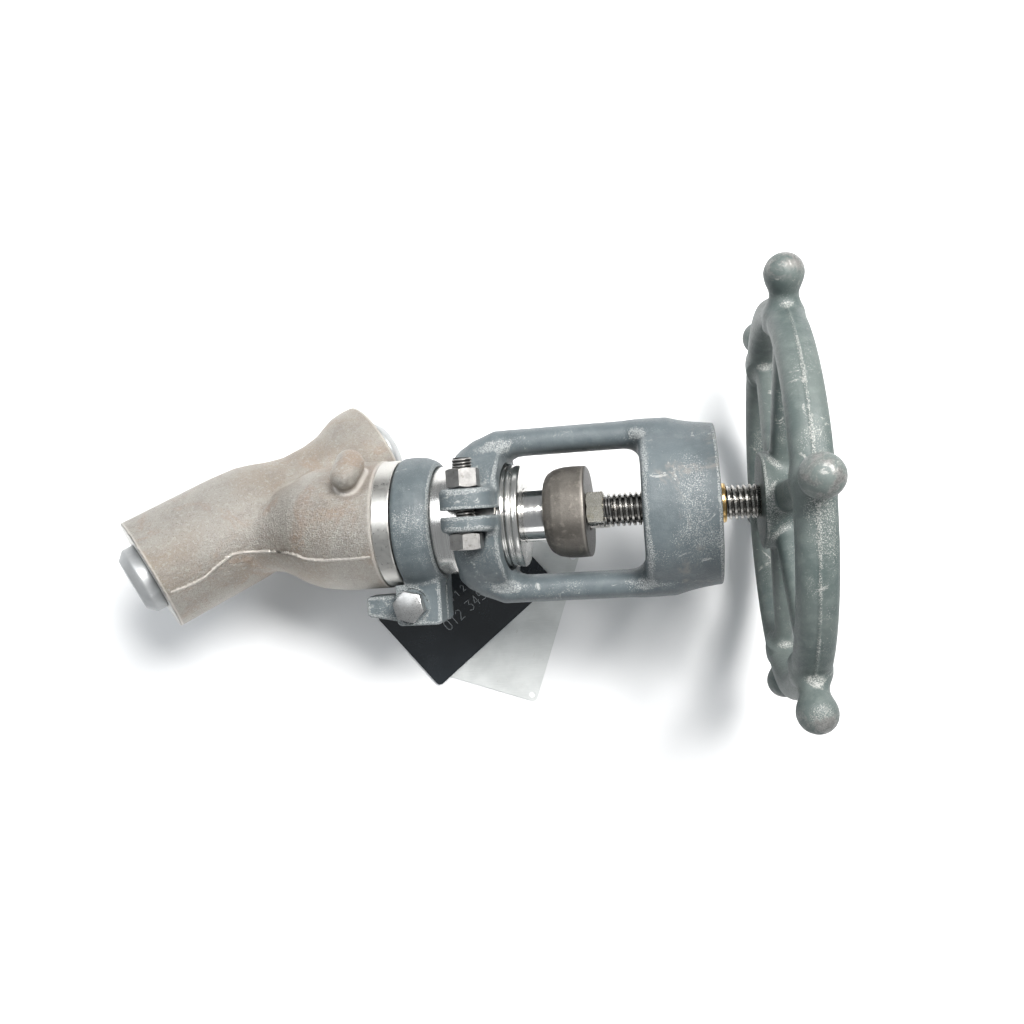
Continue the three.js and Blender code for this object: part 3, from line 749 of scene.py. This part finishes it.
M_BLACK = sheet_metal("black_plate", (0.010, 0.013, 0.016), (0.017, 0.021, 0.025), 0.20, 0.0, math.radians(38.6), 0.35, 0.12)
M_SILVER = sheet_metal("plate_aluminium", (0.74, 0.76, 0.75), (0.64, 0.66, 0.65), 0.40, 0.35, math.radians(69.8), 0.0, 0.6, (0.30, 0.26, 0.18))
M_FILL = engraving()

# ---- valve body --------------------------------------------------------------------
RUN_T = smoothed([-62, -58, 0, 10, 27, 38, 50, 62, 80, 93, 101, 108, 116, 130], [40.66, 40.66, 40.66, 40.5, 39.5, 36.8, 33, 30.4, 30.8, 33, 36.6, 39.4, 40.66, 40.66])
NECK_T = smoothed([-12, -8, 0, 14, 30, 44, 54, 63, 72, 82, 92, 108, 124], [12, 16, 24, 26, 27.5, 29, 33, 38.2, 41.5, 43.3, 44.2, 44.0, 43.9])
# the fine line that the forging dies left, on the forging's surface
FLASH = np.array([[-55.8, -35.1, -12.1], [-53.5, -34.2, -9.3], [-51.3, -33.1, -6.5], [-49.0, -31.9, -3.7], [-46.8, -30.7, -1.0], [-44.8, -29.1, 1.8], [-42.8, -27.5, 4.6], [-41.4, -25.1, 7.2], [-40.1, -22.5, 9.8], [-38.6, -20.1, 12.4], [-36.9, -17.9, 15.1], [-35.2, -15.7, 17.8], [-33.3, -13.7, 20.6], [-30.8, -12.9, 23.6], [-28.2, -12.7, 26.6], [-26.0, -12.9, 29.9], [-25.0, -13.1, 33.7], [-25.3, -13.2, 38.3], [-26.3, -13.5, 43.1], [-28.8, -13.8, 48.6], [-32.0, -14.0, 54.4], [-35.3, -14.5, 60.1], [-36.6, -15.8, 64.7], [-37.6, -17.1, 69.1], [-37.7, -18.9, 72.8], [-38.1, -19.9, 77.0], [-38.5, -20.5, 81.3], [-38.7, -20.7, 85.5], [-38.9, -20.8, 89.8], [-38.9, -20.9, 93.9], [-38.9, -20.9, 98.1], [-38.9, -20.8, 102.2], [-38.8, -20.8, 106.3], [-38.8, -20.7, 110.4], [-38.9, -20.6, 114.5], [-38.9, -20.4, 118.6]])


def sdf_body(P):
    x, y, z = P[:, 0], P[:, 1], P[:, 2]
    rho = np.hypot(x, y)
    t = P @ RUN
    q = np.sqrt(np.maximum((P * P).sum(1) - t * t, 0))
    run = (q - np.interp(t, *RUN_T)) * 0.96
    run = smax(smax(run, -RUN_IN - t, 0.9), t - RUN_OUT, 0.9)
    neck = smax(smax((rho - np.interp(z, *NECK_T)) * 0.93, -8 - z, 1.0), z - 122.6, 0.7)
    d = smin(run, neck, 4.5)
    boss = capsule(P, (-33.0, 41.5, 107.5), (-41.5, 33.0, 106.0), 9.6, 8.9)
    d = smin(d, boss, 6.5)
    band = smax(smax(rho - 43.3, 108 - z, 0.6), z - 134.6, 0.8)
    spigot = smax(smax(rho - 36.5, 110 - z, 0.6), z - 150, 0.8)
    d = np.minimum(d, np.minimum(band, spigot))
    if FLASH is not None:
        for a, b in zip(FLASH[:-1], FLASH[1:]):
            near = (np.abs(P - (a + b) / 2).max(1) < np.linalg.norm(b - a) / 2 + 4)
            if near.any():
                d[near] = smin(d[near], capsule(P[near], a, b, 0.62), 0.9)
    bore = smax(q - 19.05, t + 14, 0.8)
    bore = np.minimum(bore, smax(q - 24.45, t + RUN_IN - 14.0, 0.6))
    bore = np.minimum(bore, smax(q - 19.05, 24 - t, 0.8))
    bore = np.minimum(bore, smax(q - 24.45, RUN_OUT - 14.0 - t, 0.6))
    bore = np.minimum(bore, smax(smax(rho - 17.3, -19 - z, 0.6), z - 3, 0.6))
    cham = smax((rho - np.interp(z, [52, 62], [22.6, 27.0])) * 0.95, -2 - z, 0.5)
    cham = np.minimum(cham, smax(rho - 30, 96 - z, 0.5))
    bore = np.minimum(bore, cham)
    return smax(d, -bore, 0.7)


def mach_body(V, n):
    rho = np.hypot(V[:, 0], V[:, 1])
    t = V @ RUN
    q = np.sqrt(np.maximum((V * V).sum(1) - t * t, 0))
    m = np.clip((V[:, 2] - 122.3) / 0.5, 0, 1)
    m = np.maximum(m, np.clip((-t - RUN_IN + 0.5) / 0.4, 0, 1))
    m = np.maximum(m, np.clip((t - RUN_OUT + 0.5) / 0.4, 0, 1))
    m = np.maximum(m, ((q < 25) & ((t < -14) | (t > 24)) & (((V - t[:, None] * RUN) * n).sum(1) < 0)).astype(float))
    inward = (n[:, 0] * V[:, 0] + n[:, 1] * V[:, 1]) < 0
    m = np.maximum(m, ((rho < 30.4) & (V[:, 2] > -3) & (V[:, 2] < 151) & inward & (q < 200)).astype(float))
    return m


sdf_piece("valve_body_forging", sdf_body, (-68, -65, -74), (104, 94, 153), 1.15, M_FORGE, "body", "forged_stainless", ["valve_body"], mach_body)

# ---- yoke --------------------------------------------------------------------------
CLAMP_T = smoothed([170, 174.5, 178, 186.4, 199, 205, 210], [41.5, 42.8, 46, 48, 49, 48.2, 47], 0.5, 6)


def sdf_yoke(P):
    x, y, z = P[:, 0], P[:, 1], P[:, 2]
    rho = np.hypot(x, y)
    d = smax(smax((rho - np.interp(z, *CLAMP_T)) * 0.95, 174.5 - z, 2.5), z - 207.0, 2.5)
    hub = smax(smax(rho - 52.4, 296.0 - z, 7.0), z - 344.2, 1.6)
    ay = np.abs(y)
    # arms follow a line in the Y-Z plane: out of the clamp, along, and into the hub
    line = [(33.0, 182.0), (43.0, 192.0), (48.2, 203.0), (48.9, 214.0), (48.9, 290.0), (47.5, 312.0), (40.0, 330.0)]
    da = np.full(len(P), 1e9)
    for (y0, z0), (y1, z1) in zip(line[:-1], line[1:]):
        ey, ez = y1 - y0, z1 - z0
        h = np.clip(((ay - y0) * ey + (z - z0) * ez) / (ey * ey + ez * ez), 0, 1)
        da = np.minimum(da, np.hypot(ay - y0 - h * ey, z - z0 - h * ez))
    flare = np.interp(z, [180, 196, 210, 288, 306, 320], [20.5, 19.5, 17.0, 17.0, 19.5, 20.5])
    thick = np.interp(z, [185, 200, 214, 286, 300, 315], [10.6, 10.2, 9.4, 9.4, 10.2, 10.6])
    arm = superell(x, da, flare, thick, 2.35) * 0.97
    d = smin(d, arm, 9.0)
    d = smin(d, hub, 9.0)
    win = smax(rrect(y, z, 0.0, 251.5, 39.5, 44.5, 13.0), -1e3 + 0 * x, 0.1)
    d = smax(d, -win, 2.6)
    # ears of the clamp: a rounded lip each side of the split
    ear = smax(superell(z - 189.0, x + 46.0, 17.6, 20.0, 2.6), np.abs(y - 5.9) - 13.8, 4.0)
    ear = smax(ear, x + 36.0, 1.0)
    d = smin(d, ear, 5.5)
    d = smax(d, -np.maximum(rho - 37.1, z - 207.6), 0.7)
    slit = np.maximum(np.maximum(np.abs(y - 4.2) - 2.1, x), z - 212)
    d = smax(d, -slit, 0.8)
    bx, bz = x + 54.0, z - 188.0
    br = np.hypot(bx, bz)
    d = smax(d, -np.maximum(br - 6.65, np.abs(y - 6) - 18), 0.5)
    d = smax(d, -np.maximum(br - 12.4, y + 7.9), 1.0)
    d = smax(d, -np.maximum(br - 12.4, 19.7 - y), 1.0)
    d = smax(d, -np.maximum(np.maximum(rho - 16.3, 280 - z), z - 336.3), 0.5)
    d = smax(d, -np.maximum(rho - 13.3, 280 - z), 0.5)
    return d


def mach_yoke(V, n):
    rho = np.hypot(V[:, 0], V[:, 1])
    return np.clip((V[:, 2] - 294) / 10, 0, 1) * np.clip((rho - 50) / 2, 0, 1)


sdf_piece("yoke_forging", sdf_yoke, (-69, -62, 166), (57, 62, 347), 1.1, M_BLUE, "body", "blue_grey_paint", ["yoke"], mach_yoke)

# ---- locking collar -------------------------------------------------------------------
COLLAR_T = smoothed([130, 134.9, 137.4, 144, 152, 157, 160, 164], [42.0, 42.6, 44.2, 44.6, 43.9, 41.9, 39.6, 39], 0.4, 5)


def sdf_collar(P):
    x, y, z = P[:, 0], P[:, 1], P[:, 2]
    rho = np.hypot(x, y)
    ring = smax(smax((rho - np.interp(z, *COLLAR_T)) * 0.95, 134.9 - z, 1.6), z - 160.0, 1.6)
    lug = smax(rrect(z, y, 143.6, -53.6, 15.7, 15.5, 3.4), np.abs(x + 0.25) - 17.2, 1.8)
    foot = smax(poly2(z, y, [(103.3, -61.6), (105, -63.4), (132, -68.4), (132, -48.4), (105, -49.3), (103.3, -50.8)]), np.abs(x + -3.0) - 9.0, 2.0)
    d = smin(ring, lug, 5.0)
    d = smin(d, foot, 0.8)
    d = smax(d, -np.maximum(rho - 37.1, 0 * z - 1e3), 0.7)
    d = smax(d, -np.maximum(np.abs(x) - 1.6, np.maximum(y + 30, 131.5 - z)), 0.5)
    d = smax(d, -np.maximum(rho - 44.5, z - 134.6), 0.6)
    sr = np.hypot(y + 55.7, z - 138.6)
    d = smax(d, -(sr - 6.6), 0.4)
    d = smax(d, -np.maximum(sr - 11.8, x + 17.0), 0.4)
    return d


sdf_piece("locking_collar_forging", sdf_collar, (-47, -72, 101), (47, 47, 162), 0.95, M_BLUE, "body", "blue_grey_paint", ["locking_collar"])

# ---- gland flange -----------------------------------------------------------------------
GT = math.radians(-5)


def unturn(P):
    c, s = math.cos(GT), math.sin(GT)
    return P[:, 0] * c + P[:, 1] * s, -P[:, 0] * s + P[:, 1] * c, P[:, 2]


GF_X = smoothed([230, 233.7, 236, 240, 246, 252, 262, 266], [34.5, 36.0, 38.8, 41.2, 42.3, 42.4, 42.2, 42.2], 0.3, 5)
GF_Y = smoothed([230, 233.7, 236, 240, 246, 252, 262, 266], [21.8, 23.4, 26.4, 28.8, 30.0, 30.2, 30.0, 30.0], 0.3, 5)


def sdf_flange(P):
    x, y, z = unturn(P)
    d = superell(x, y, np.interp(z, *GF_X), np.interp(z, *GF_Y), 2.4) * 0.88
    d = smax(smax(d, 233.7 - z, 2.2), z - 261.0, 1.4)
    d = smax(d, -(np.hypot(x, y) - 12.4), 0.8)
    sx = np.hypot(np.abs(x) - 27.0, y)
    d = smax(d, -np.maximum(sx - 6.6, 240 - z), 0.5)
    return d


sdf_piece("gland_flange_forging", sdf_flange, (-46, -36, 231), (46, 36, 263), 0.8, M_DARK, "body", "dark_forging", ["gland_flange"],
          lambda V, n: np.clip((V[:, 2] - 259.6) / 1.0, 0, 1))

# ---- handwheel -----------------------------------------------------------------------------
HUB_T = smoothed([368, 371, 375.5, 379, 387, 397, 402], [31.3, 31.3, 31.2, 29.2, 26, 23, 21.5], 0.4, 4)


def sdf_wheel(P):
    x, y, z = P[:, 0], P[:, 1], P[:, 2]
    rho = np.hypot(x, y)
    a = np.arctan2(y, x) - KNOB_PHASE
    a = (a + math.pi / 6) % (math.pi / 3) - math.pi / 6
    u, v = rho * np.cos(a), rho * np.sin(a)
    rim = superell(rho - 118.0, z - WHEEL_Z, 9.0, 11.0, 2.45)
    seam = np.hypot((rho - 126.9) , (z - WHEEL_Z) * 0.8) - 0.45
    rim = smin(rim, seam, 1.0)
    k = np.clip((u - 18) / 96, 0, 1)
    sp = superell(v, z - (384.3 + 1.6 * k), 9.0 - 1.4 * k, 7.6 - 2.0 * k, 2.6)
    sp = smax(smax(sp, 10 - u, 1.0), u - 117, 1.0)
    d = smin(rim, sp, 9.0)
    hub = smax(smax((rho - np.interp(z, *HUB_T)) * 0.95, 371.0 - z, 1.4), z - 399.0, 1.6)
    d = smin(d, hub, 6.0)
    nr = np.interp(u, [110, 118, 126, 133, 142], [11.4, 10.6, 9.3, 8.2, 8.0])
    neck = smax(smax(np.hypot(v, z - WHEEL_Z) - nr, 112 - u, 1.0), u - 142, 1.0)
    d = smin(d, neck, 5.0)
    d = smin(d, np.sqrt((u - 144.0) ** 2 + v * v + (z - WHEEL_Z) ** 2) - 11.55, 4.5)
    return smax(d, -(rho - 9.8), 0.7)


def knob_rub_and_top_light(V, n):
    """Hands have rubbed the outer half of the knobs. The mask is also weighted to faces that point up, so the bare
    metal it brings is partly painted top light.
    """
    return np.clip((np.hypot(V[:, 0], V[:, 1]) - 142.0) / 9.0, 0, 1) * np.clip(0.5 - n[:, 0] * 0.9, 0, 1)


sdf_piece("handwheel_casting", sdf_wheel, (-158, -158, 369), (158, 158, 402), 1.3, M_GREEN, "stem_and_wheel", "green_grey_paint", ["handwheel"], knob_rub_and_top_light)

# ---- turned pieces ------------------------------------------------------------------------------
bonnet_profile = ease([(15.4, 98.6), (29.7, 98.6), (29.7, 150.3), (36.8, 150.3), (36.8, 203), (34.4, 203.9), (34.4, 206.9), (33.5, 207.5), (33.5, 208.7),
                       (34.4, 209.2), (34.4, 211.2), (33.5, 211.8), (33.5, 212.9), (34.4, 213.4), (34.4, 216.4), (33.2, 217.6), (18.2, 217.6), (18.2, 167.7), (11.8, 167.7), (11.8, 101.6)], 0.45)
finish_piece(assemble("bonnet_turned", [(*lathe(bonnet_profile, 144), 0)]), M_TURNED, "body", "turned_stainless", "bonnet")
gland_profile = ease([(11.8, 196.2), (17.9, 196.2), (17.9, 233.4), (11.8, 233.4)], 0.6)
finish_piece(assemble("gland_polished", [(*lathe(gland_profile, 128), 0)]), M_POLISH, "body", "turned_stainless", "gland")
bush_profile = ease([(11.35, 298.5), (15, 298.5), (16, 299.5), (16, 336), (13.0, 336), (13.0, 348.4), (12.3, 349.3), (11.35, 349.3)], 0.35)
finish_piece(assemble("yoke_bushing_bronze", [(*lathe(bush_profile, 112), 0)]), M_BRONZE, "body", "bronze", "yoke_bushing")

shank = ease([(0, DZ + 18.4), (14.6, DZ + 18.4), (14.6, DZ + 26.2), (11.5, DZ + 26.2), (11.5, 78), (14.6, 81), (14.6, 92), (11.5, 95.2), (11.5, 266.2), (10.4, 267.4), (0, 267.4)], 0.4)
tail = ease([(0, 368.0), (11.05, 368.0), (11.05, 368.5), (9.5, 370.6), (9.5, 397.5), (7.9, 398.5), (7.9, 400.2), (0, 400.2)], 0.3)
finish_piece(assemble("stem_threaded", [(*lathe(shank, 96), 0), (*helix(267.0, 368.6, 11.1, 9.15, PITCH), 1), (*lathe(tail, 96), 0),
                                        (*helix(399.8, 415.0, 7.9, 7.0, 1.95, False), 1)]), M_STEM, "stem_and_wheel", "stem_steel", "stem")
wash = ease([(8.3, 399.3), (15, 399.3), (15, 401.8), (8.3, 401.8)], 0.35)
finish_piece(assemble("wheel_washer_plated", [(*lathe(wash, 96), 0)]), M_ZINC, "stem_and_wheel", "plated_steel", "wheel_washer")
finish_piece(assemble("wheel_nut_plated", [(*hexed(24, 402.1, 413.0, 8.1), 0)]), M_ZINC, "stem_and_wheel", "plated_steel", "wheel_nut")

c5, s5 = math.cos(GT), math.sin(GT)
for sgn, nm in ((-1, "near"), (1, "far")):
    at = (sgn * 27.0 * c5, sgn * 27.0 * s5, 0.0)
    hint = (c5, s5, 0.0)
    stud_end = ease([(0, 240.3), (6.35, 240.3), (6.35, 259), (0, 259)], 0.4)
    finish_piece(assemble(f"gland_stud_{nm}_threaded", [(*lathe(stud_end, 64), 0), (*helix(258.5, 277.2, 6.35, 5.5, 1.954, False), 1)], at, xhint=hint), M_BOLT, "body", "bolt_steel", f"gland_stud_{nm}")
    finish_piece(assemble(f"gland_nut_{nm}_plated", [(*hexed(19.05, 261.3, 272.4, 6.55), 0)], at, xhint=(-s5, c5, 0.0)), M_ZINC, "body", "plated_steel", f"gland_nut_{nm}")

# screw of the locking collar, along -X
screw_rod = ease([(0, -16), (6.35, -16), (6.35, 17.9), (0, 17.9)], 0.5)
finish_piece(assemble("collar_screw_faced", [(*lathe(screw_rod, 64), 0), (*hexed(19.05, 17.8, 25.6, 0.0, False), 0)], (0, -55.7, 138.6), (-1, 0, 0), (0, math.sin(0.25), math.cos(0.25))),
             M_HEAD, "body", "bolt_steel", "collar_screw")

# clamp bolt and nut, along Y
bolt_rod = ease([(0, -9), (6.3, -9), (6.3, -2), (0, -2)], 0.4)
finish_piece(assemble("yoke_bolt_threaded", [(*lathe(bolt_rod, 64), 0), (*helix(-2.5, 38.5, 6.35, 5.45, 1.954, False), 1), (*hexed(19.05, -18.6, -8.2), 0)],
                      (-54, 0, 188), (0, 1, 0), (0, 0, 1)), M_BOLT, "body", "bolt_steel", "yoke_bolt")
finish_piece(assemble("yoke_nut_hex", [(*hexed(19.05, 20.0, 32.0, 6.55), 0)], (-54, 0, 188), (0, 1, 0), (0, 0, 1)), M_BOLT, "body", "bolt_steel", "yoke_nut")

# end protectors
cap_profile = ease([(0, 0), (23.0, 0), (23.0, 13.2), (24.1, 13.8), (24.1, 20.8), (23.4, 22.0), (18.6, 26.6), (0, 26.6)], 0.7)
finish_piece(assemble("inlet_protector_cap", [(*lathe(cap_profile, 112), 0)], RUN * (-RUN_IN + 13.7), -RUN), M_CAP, "body", "grey_plastic", "inlet_protector")
finish_piece(assemble("outlet_protector_cap", [(*lathe(cap_profile, 112), 0)], RUN * (RUN_OUT - 13.7), RUN), M_CAP, "body", "grey_plastic", "outlet_protector")


# ---- plates lying on the table ---------------------------------------------------------------------
def plate(name, cx, cy, ang, z0, z1, holes, mat, slot, node):
    """Sheet with round corners and punched holes, its edges eased by a bevel."""
    bm = bmesh.new()
    pts = []
    r = 4.0
    for qx, qy, a0 in ((59.5, 34.1, 0), (-59.5, 34.1, 90), (-59.5, -34.1, 180), (59.5, -34.1, 270)):
        for i in range(9):
            a = math.radians(a0 + 90 * i / 8)
            pts.append((qx + r * math.cos(a), qy + r * math.sin(a)))
    loops = [pts]
    for hx, hy in holes:
        loops.append([(hx + 2.4 * math.cos(2 * math.pi * i / 28), hy + 2.4 * math.sin(2 * math.pi * i / 28)) for i in range(28)])
    edges = []
    for loop in loops:
        vs = [bm.verts.new((x, y, z0)) for x, y in loop]
        edges += [bm.edges.new((vs[i], vs[(i + 1) % len(vs)])) for i in range(len(vs))]
    bmesh.ops.triangle_fill(bm, use_beauty=True, edges=edges)
    ex = bmesh.ops.extrude_face_region(bm, geom=bm.faces[:])
    bmesh.ops.translate(bm, verts=[v for v in ex["geom"] if isinstance(v, bmesh.types.BMVert)], vec=(0, 0, z1 - z0))
    bmesh.ops.recalc_face_normals(bm, faces=bm.faces)
    rot = Matrix.Translation((cx + SHIFT[0], cy + SHIFT[1], SHIFT[2])) @ Matrix.Rotation(math.radians(ang), 4, "Z")
    bm.transform(Matrix.Scale(0.001, 4) @ rot)
    me = bpy.data.meshes.new(name)
    bm.to_mesh(me)
    bm.free()
    ob = bpy.data.objects.new(name, me)
    bpy.context.scene.collection.objects.link(ob)
    bev = ob.modifiers.new("bevel", "BEVEL")
    bev.width = 0.00022
    bev.segments = 2
    bev.limit_method = "ANGLE"
    finish_piece(ob, mat, "body", slot, node)
    return rot


plate("data_plate_silver_sheet", 200.9, -80.3, 69.8, 0.05, 1.05, [(-58.5, -33.5), (58.5, -33.5)], M_SILVER, "plate_aluminium", "data_plate_silver")
black_at = plate("data_plate_black_sheet", 163.1, -65.5, 38.6, 1.35, 2.85, [(58.5, 33.5)], M_BLACK, "black_plate", "data_plate_black")

# generic engraved digits on the black plate, drawn as thin strokes
STROKES = {
    "0": [[(0, 1), (0, 5), (1, 6), (2, 6), (3, 5), (3, 1), (2, 0), (1, 0), (0, 1)]],
    "1": [[(0.6, 4.8), (1.8, 6), (1.8, 0)]],
    "2": [[(0, 5), (1, 6), (2, 6), (3, 5), (3, 4), (0, 0), (3, 0)]],
    "3": [[(0, 6), (3, 6), (1.4, 3.6), (2.2, 3.5), (3, 2.5), (3, 1), (2, 0), (1, 0), (0, 0.8)]],
    "4": [[(2.2, 0), (2.2, 6), (0, 2), (3, 2)]],
    "5": [[(3, 6), (0, 6), (0, 3.4), (2, 3.6), (3, 2.6), (3, 1), (2, 0), (0, 0.4)]],
}


def digits(name, text, x0, y0, h, w=0.55, z=2.86):
    bm = bmesh.new()
    x = x0
    u = h / 6.0
    for ch in text:
        for line in STROKES.get(ch, []):
            pts = [Vector((x + px * u, y0 + py * u)) for px, py in line]
            for a, b in zip(pts[:-1], pts[1:]):
                d = (b - a).normalized()
                n = Vector((-d.y, d.x)) * w / 2
                a2, b2 = a - d * w * 0.4, b + d * w * 0.4
                base = [bm.verts.new((p.x, p.y, z - 0.10)) for p in (a2 - n, b2 - n, b2 + n, a2 + n)]
                top = [bm.verts.new((p.x, p.y, z + 0.015)) for p in (a2 - n, b2 - n, b2 + n, a2 + n)]
                bm.faces.new(top)
                bm.faces.new(base[::-1])
                for i in range(4):
                    j = (i + 1) % 4
                    bm.faces.new((base[i], base[j], top[j], top[i]))
        x += (4.6 if ch != " " else 3.2) * u
    bm.transform(Matrix.Scale(0.001, 4) @ black_at)
    me = bpy.data.meshes.new(name)
    bm.to_mesh(me)
    bm.free()
    ob = bpy.data.objects.new(name, me)
    bpy.context.scene.collection.objects.link(ob)
    finish_piece(ob, M_FILL, "body", "plate_aluminium")


digits("plate_digits_row", "012 345", -27.0, -10.0, 8.4, 0.6)
digits("plate_digits_upper", "0 1 2 3", -10.0, 6.0, 5.0)

# ---- pieces kept as CAD nodes, inside the valve: their own finishes ---------------------------------------
def finish_node(node, mat):
    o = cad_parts[node]
    if not o.material_slots:
        o.data.materials.append(mat)
    for s in o.material_slots:
        s.material = mat


def plain_turned(name, a, b_, rough):
    m = Mat(name, Metallic=1.0)
    g = m.noise(420, 4, 0.6)
    c = m.mix(m.band(g, 0.35, 0.7), a, b_)
    return m.out(c, m.band(m.noise(240, 4), 0.3, 0.7, rough * 0.7, rough * 1.4), None, m.bump(m.noise(1400, 3), 0.2, 0.0001))


M_SEAT = plain_turned("lapped_facing", (0.62, 0.62, 0.61), (0.74, 0.74, 0.73), 0.14)
for n in ("seat_ring", "disc"):
    finish_node(n, M_SEAT)
finish_node("disc_nut", plain_turned("disc_nut_steel", (0.52, 0.51, 0.50), (0.40, 0.39, 0.38), 0.3))
for n in ("bonnet_gasket", "packing_ring_1", "packing_ring_2", "packing_ring_3"):
    finish_node(n, M_GRAPH)

# ---- table, light --------------------------------------------------------------------------------------------
fm = Mat("table_top", Metallic=0.0)
fc = fm.mix(fm.band(fm.noise(1.6, 4, 0.5), 0.3, 0.75), (0.83, 0.84, 0.85), (0.88, 0.885, 0.89))
fm.out(fc, fm.band(fm.noise(6, 3), 0.3, 0.7, 0.42, 0.6))
me = bpy.data.meshes.new("table")
me.from_pydata([(-3, -3, -0.0002), (3, -3, -0.0002), (3, 3, -0.0002), (-3, 3, -0.0002)], [], [(0, 1, 2, 3)])
floor = bpy.data.objects.new("table", me)
floor.data.materials.append(fm.m)
bpy.context.scene.collection.objects.link(floor)

world = bpy.data.worlds.new("studio")
bpy.context.scene.world = world
world.use_nodes = True
bg = world.node_tree.nodes["Background"]
bg.inputs["Color"].default_value = (0.93, 0.97, 1.0, 1.0)
bg.inputs["Strength"].default_value = 0.32


def lamp(name, loc, target, size, power, color=(1, 1, 1)):
    d = bpy.data.lights.new(name, "AREA")
    d.shape = "RECTANGLE"
    d.size, d.size_y = size
    d.energy = power
    d.color = color
    o = bpy.data.objects.new(name, d)
    o.location = loc
    o.rotation_euler = (Vector(target) - Vector(loc)).to_track_quat("-Z", "Y").to_euler()
    bpy.context.scene.collection.objects.link(o)


lamp("key", (0.42, 0.56, 1.28), (0.0, 0.0, 0.05), (0.62, 0.5), 37.0, (1.0, 0.985, 0.965))
lamp("fill", (-0.6, 0.45, 1.1), (0.0, 0.0, 0.05), (0.8, 0.8), 5.5, (0.95, 0.975, 1.0))
lamp("rim", (0.3, -1.1, 0.7), (0.05, 0.0, 0.1), (1.0, 0.5), 2.0)
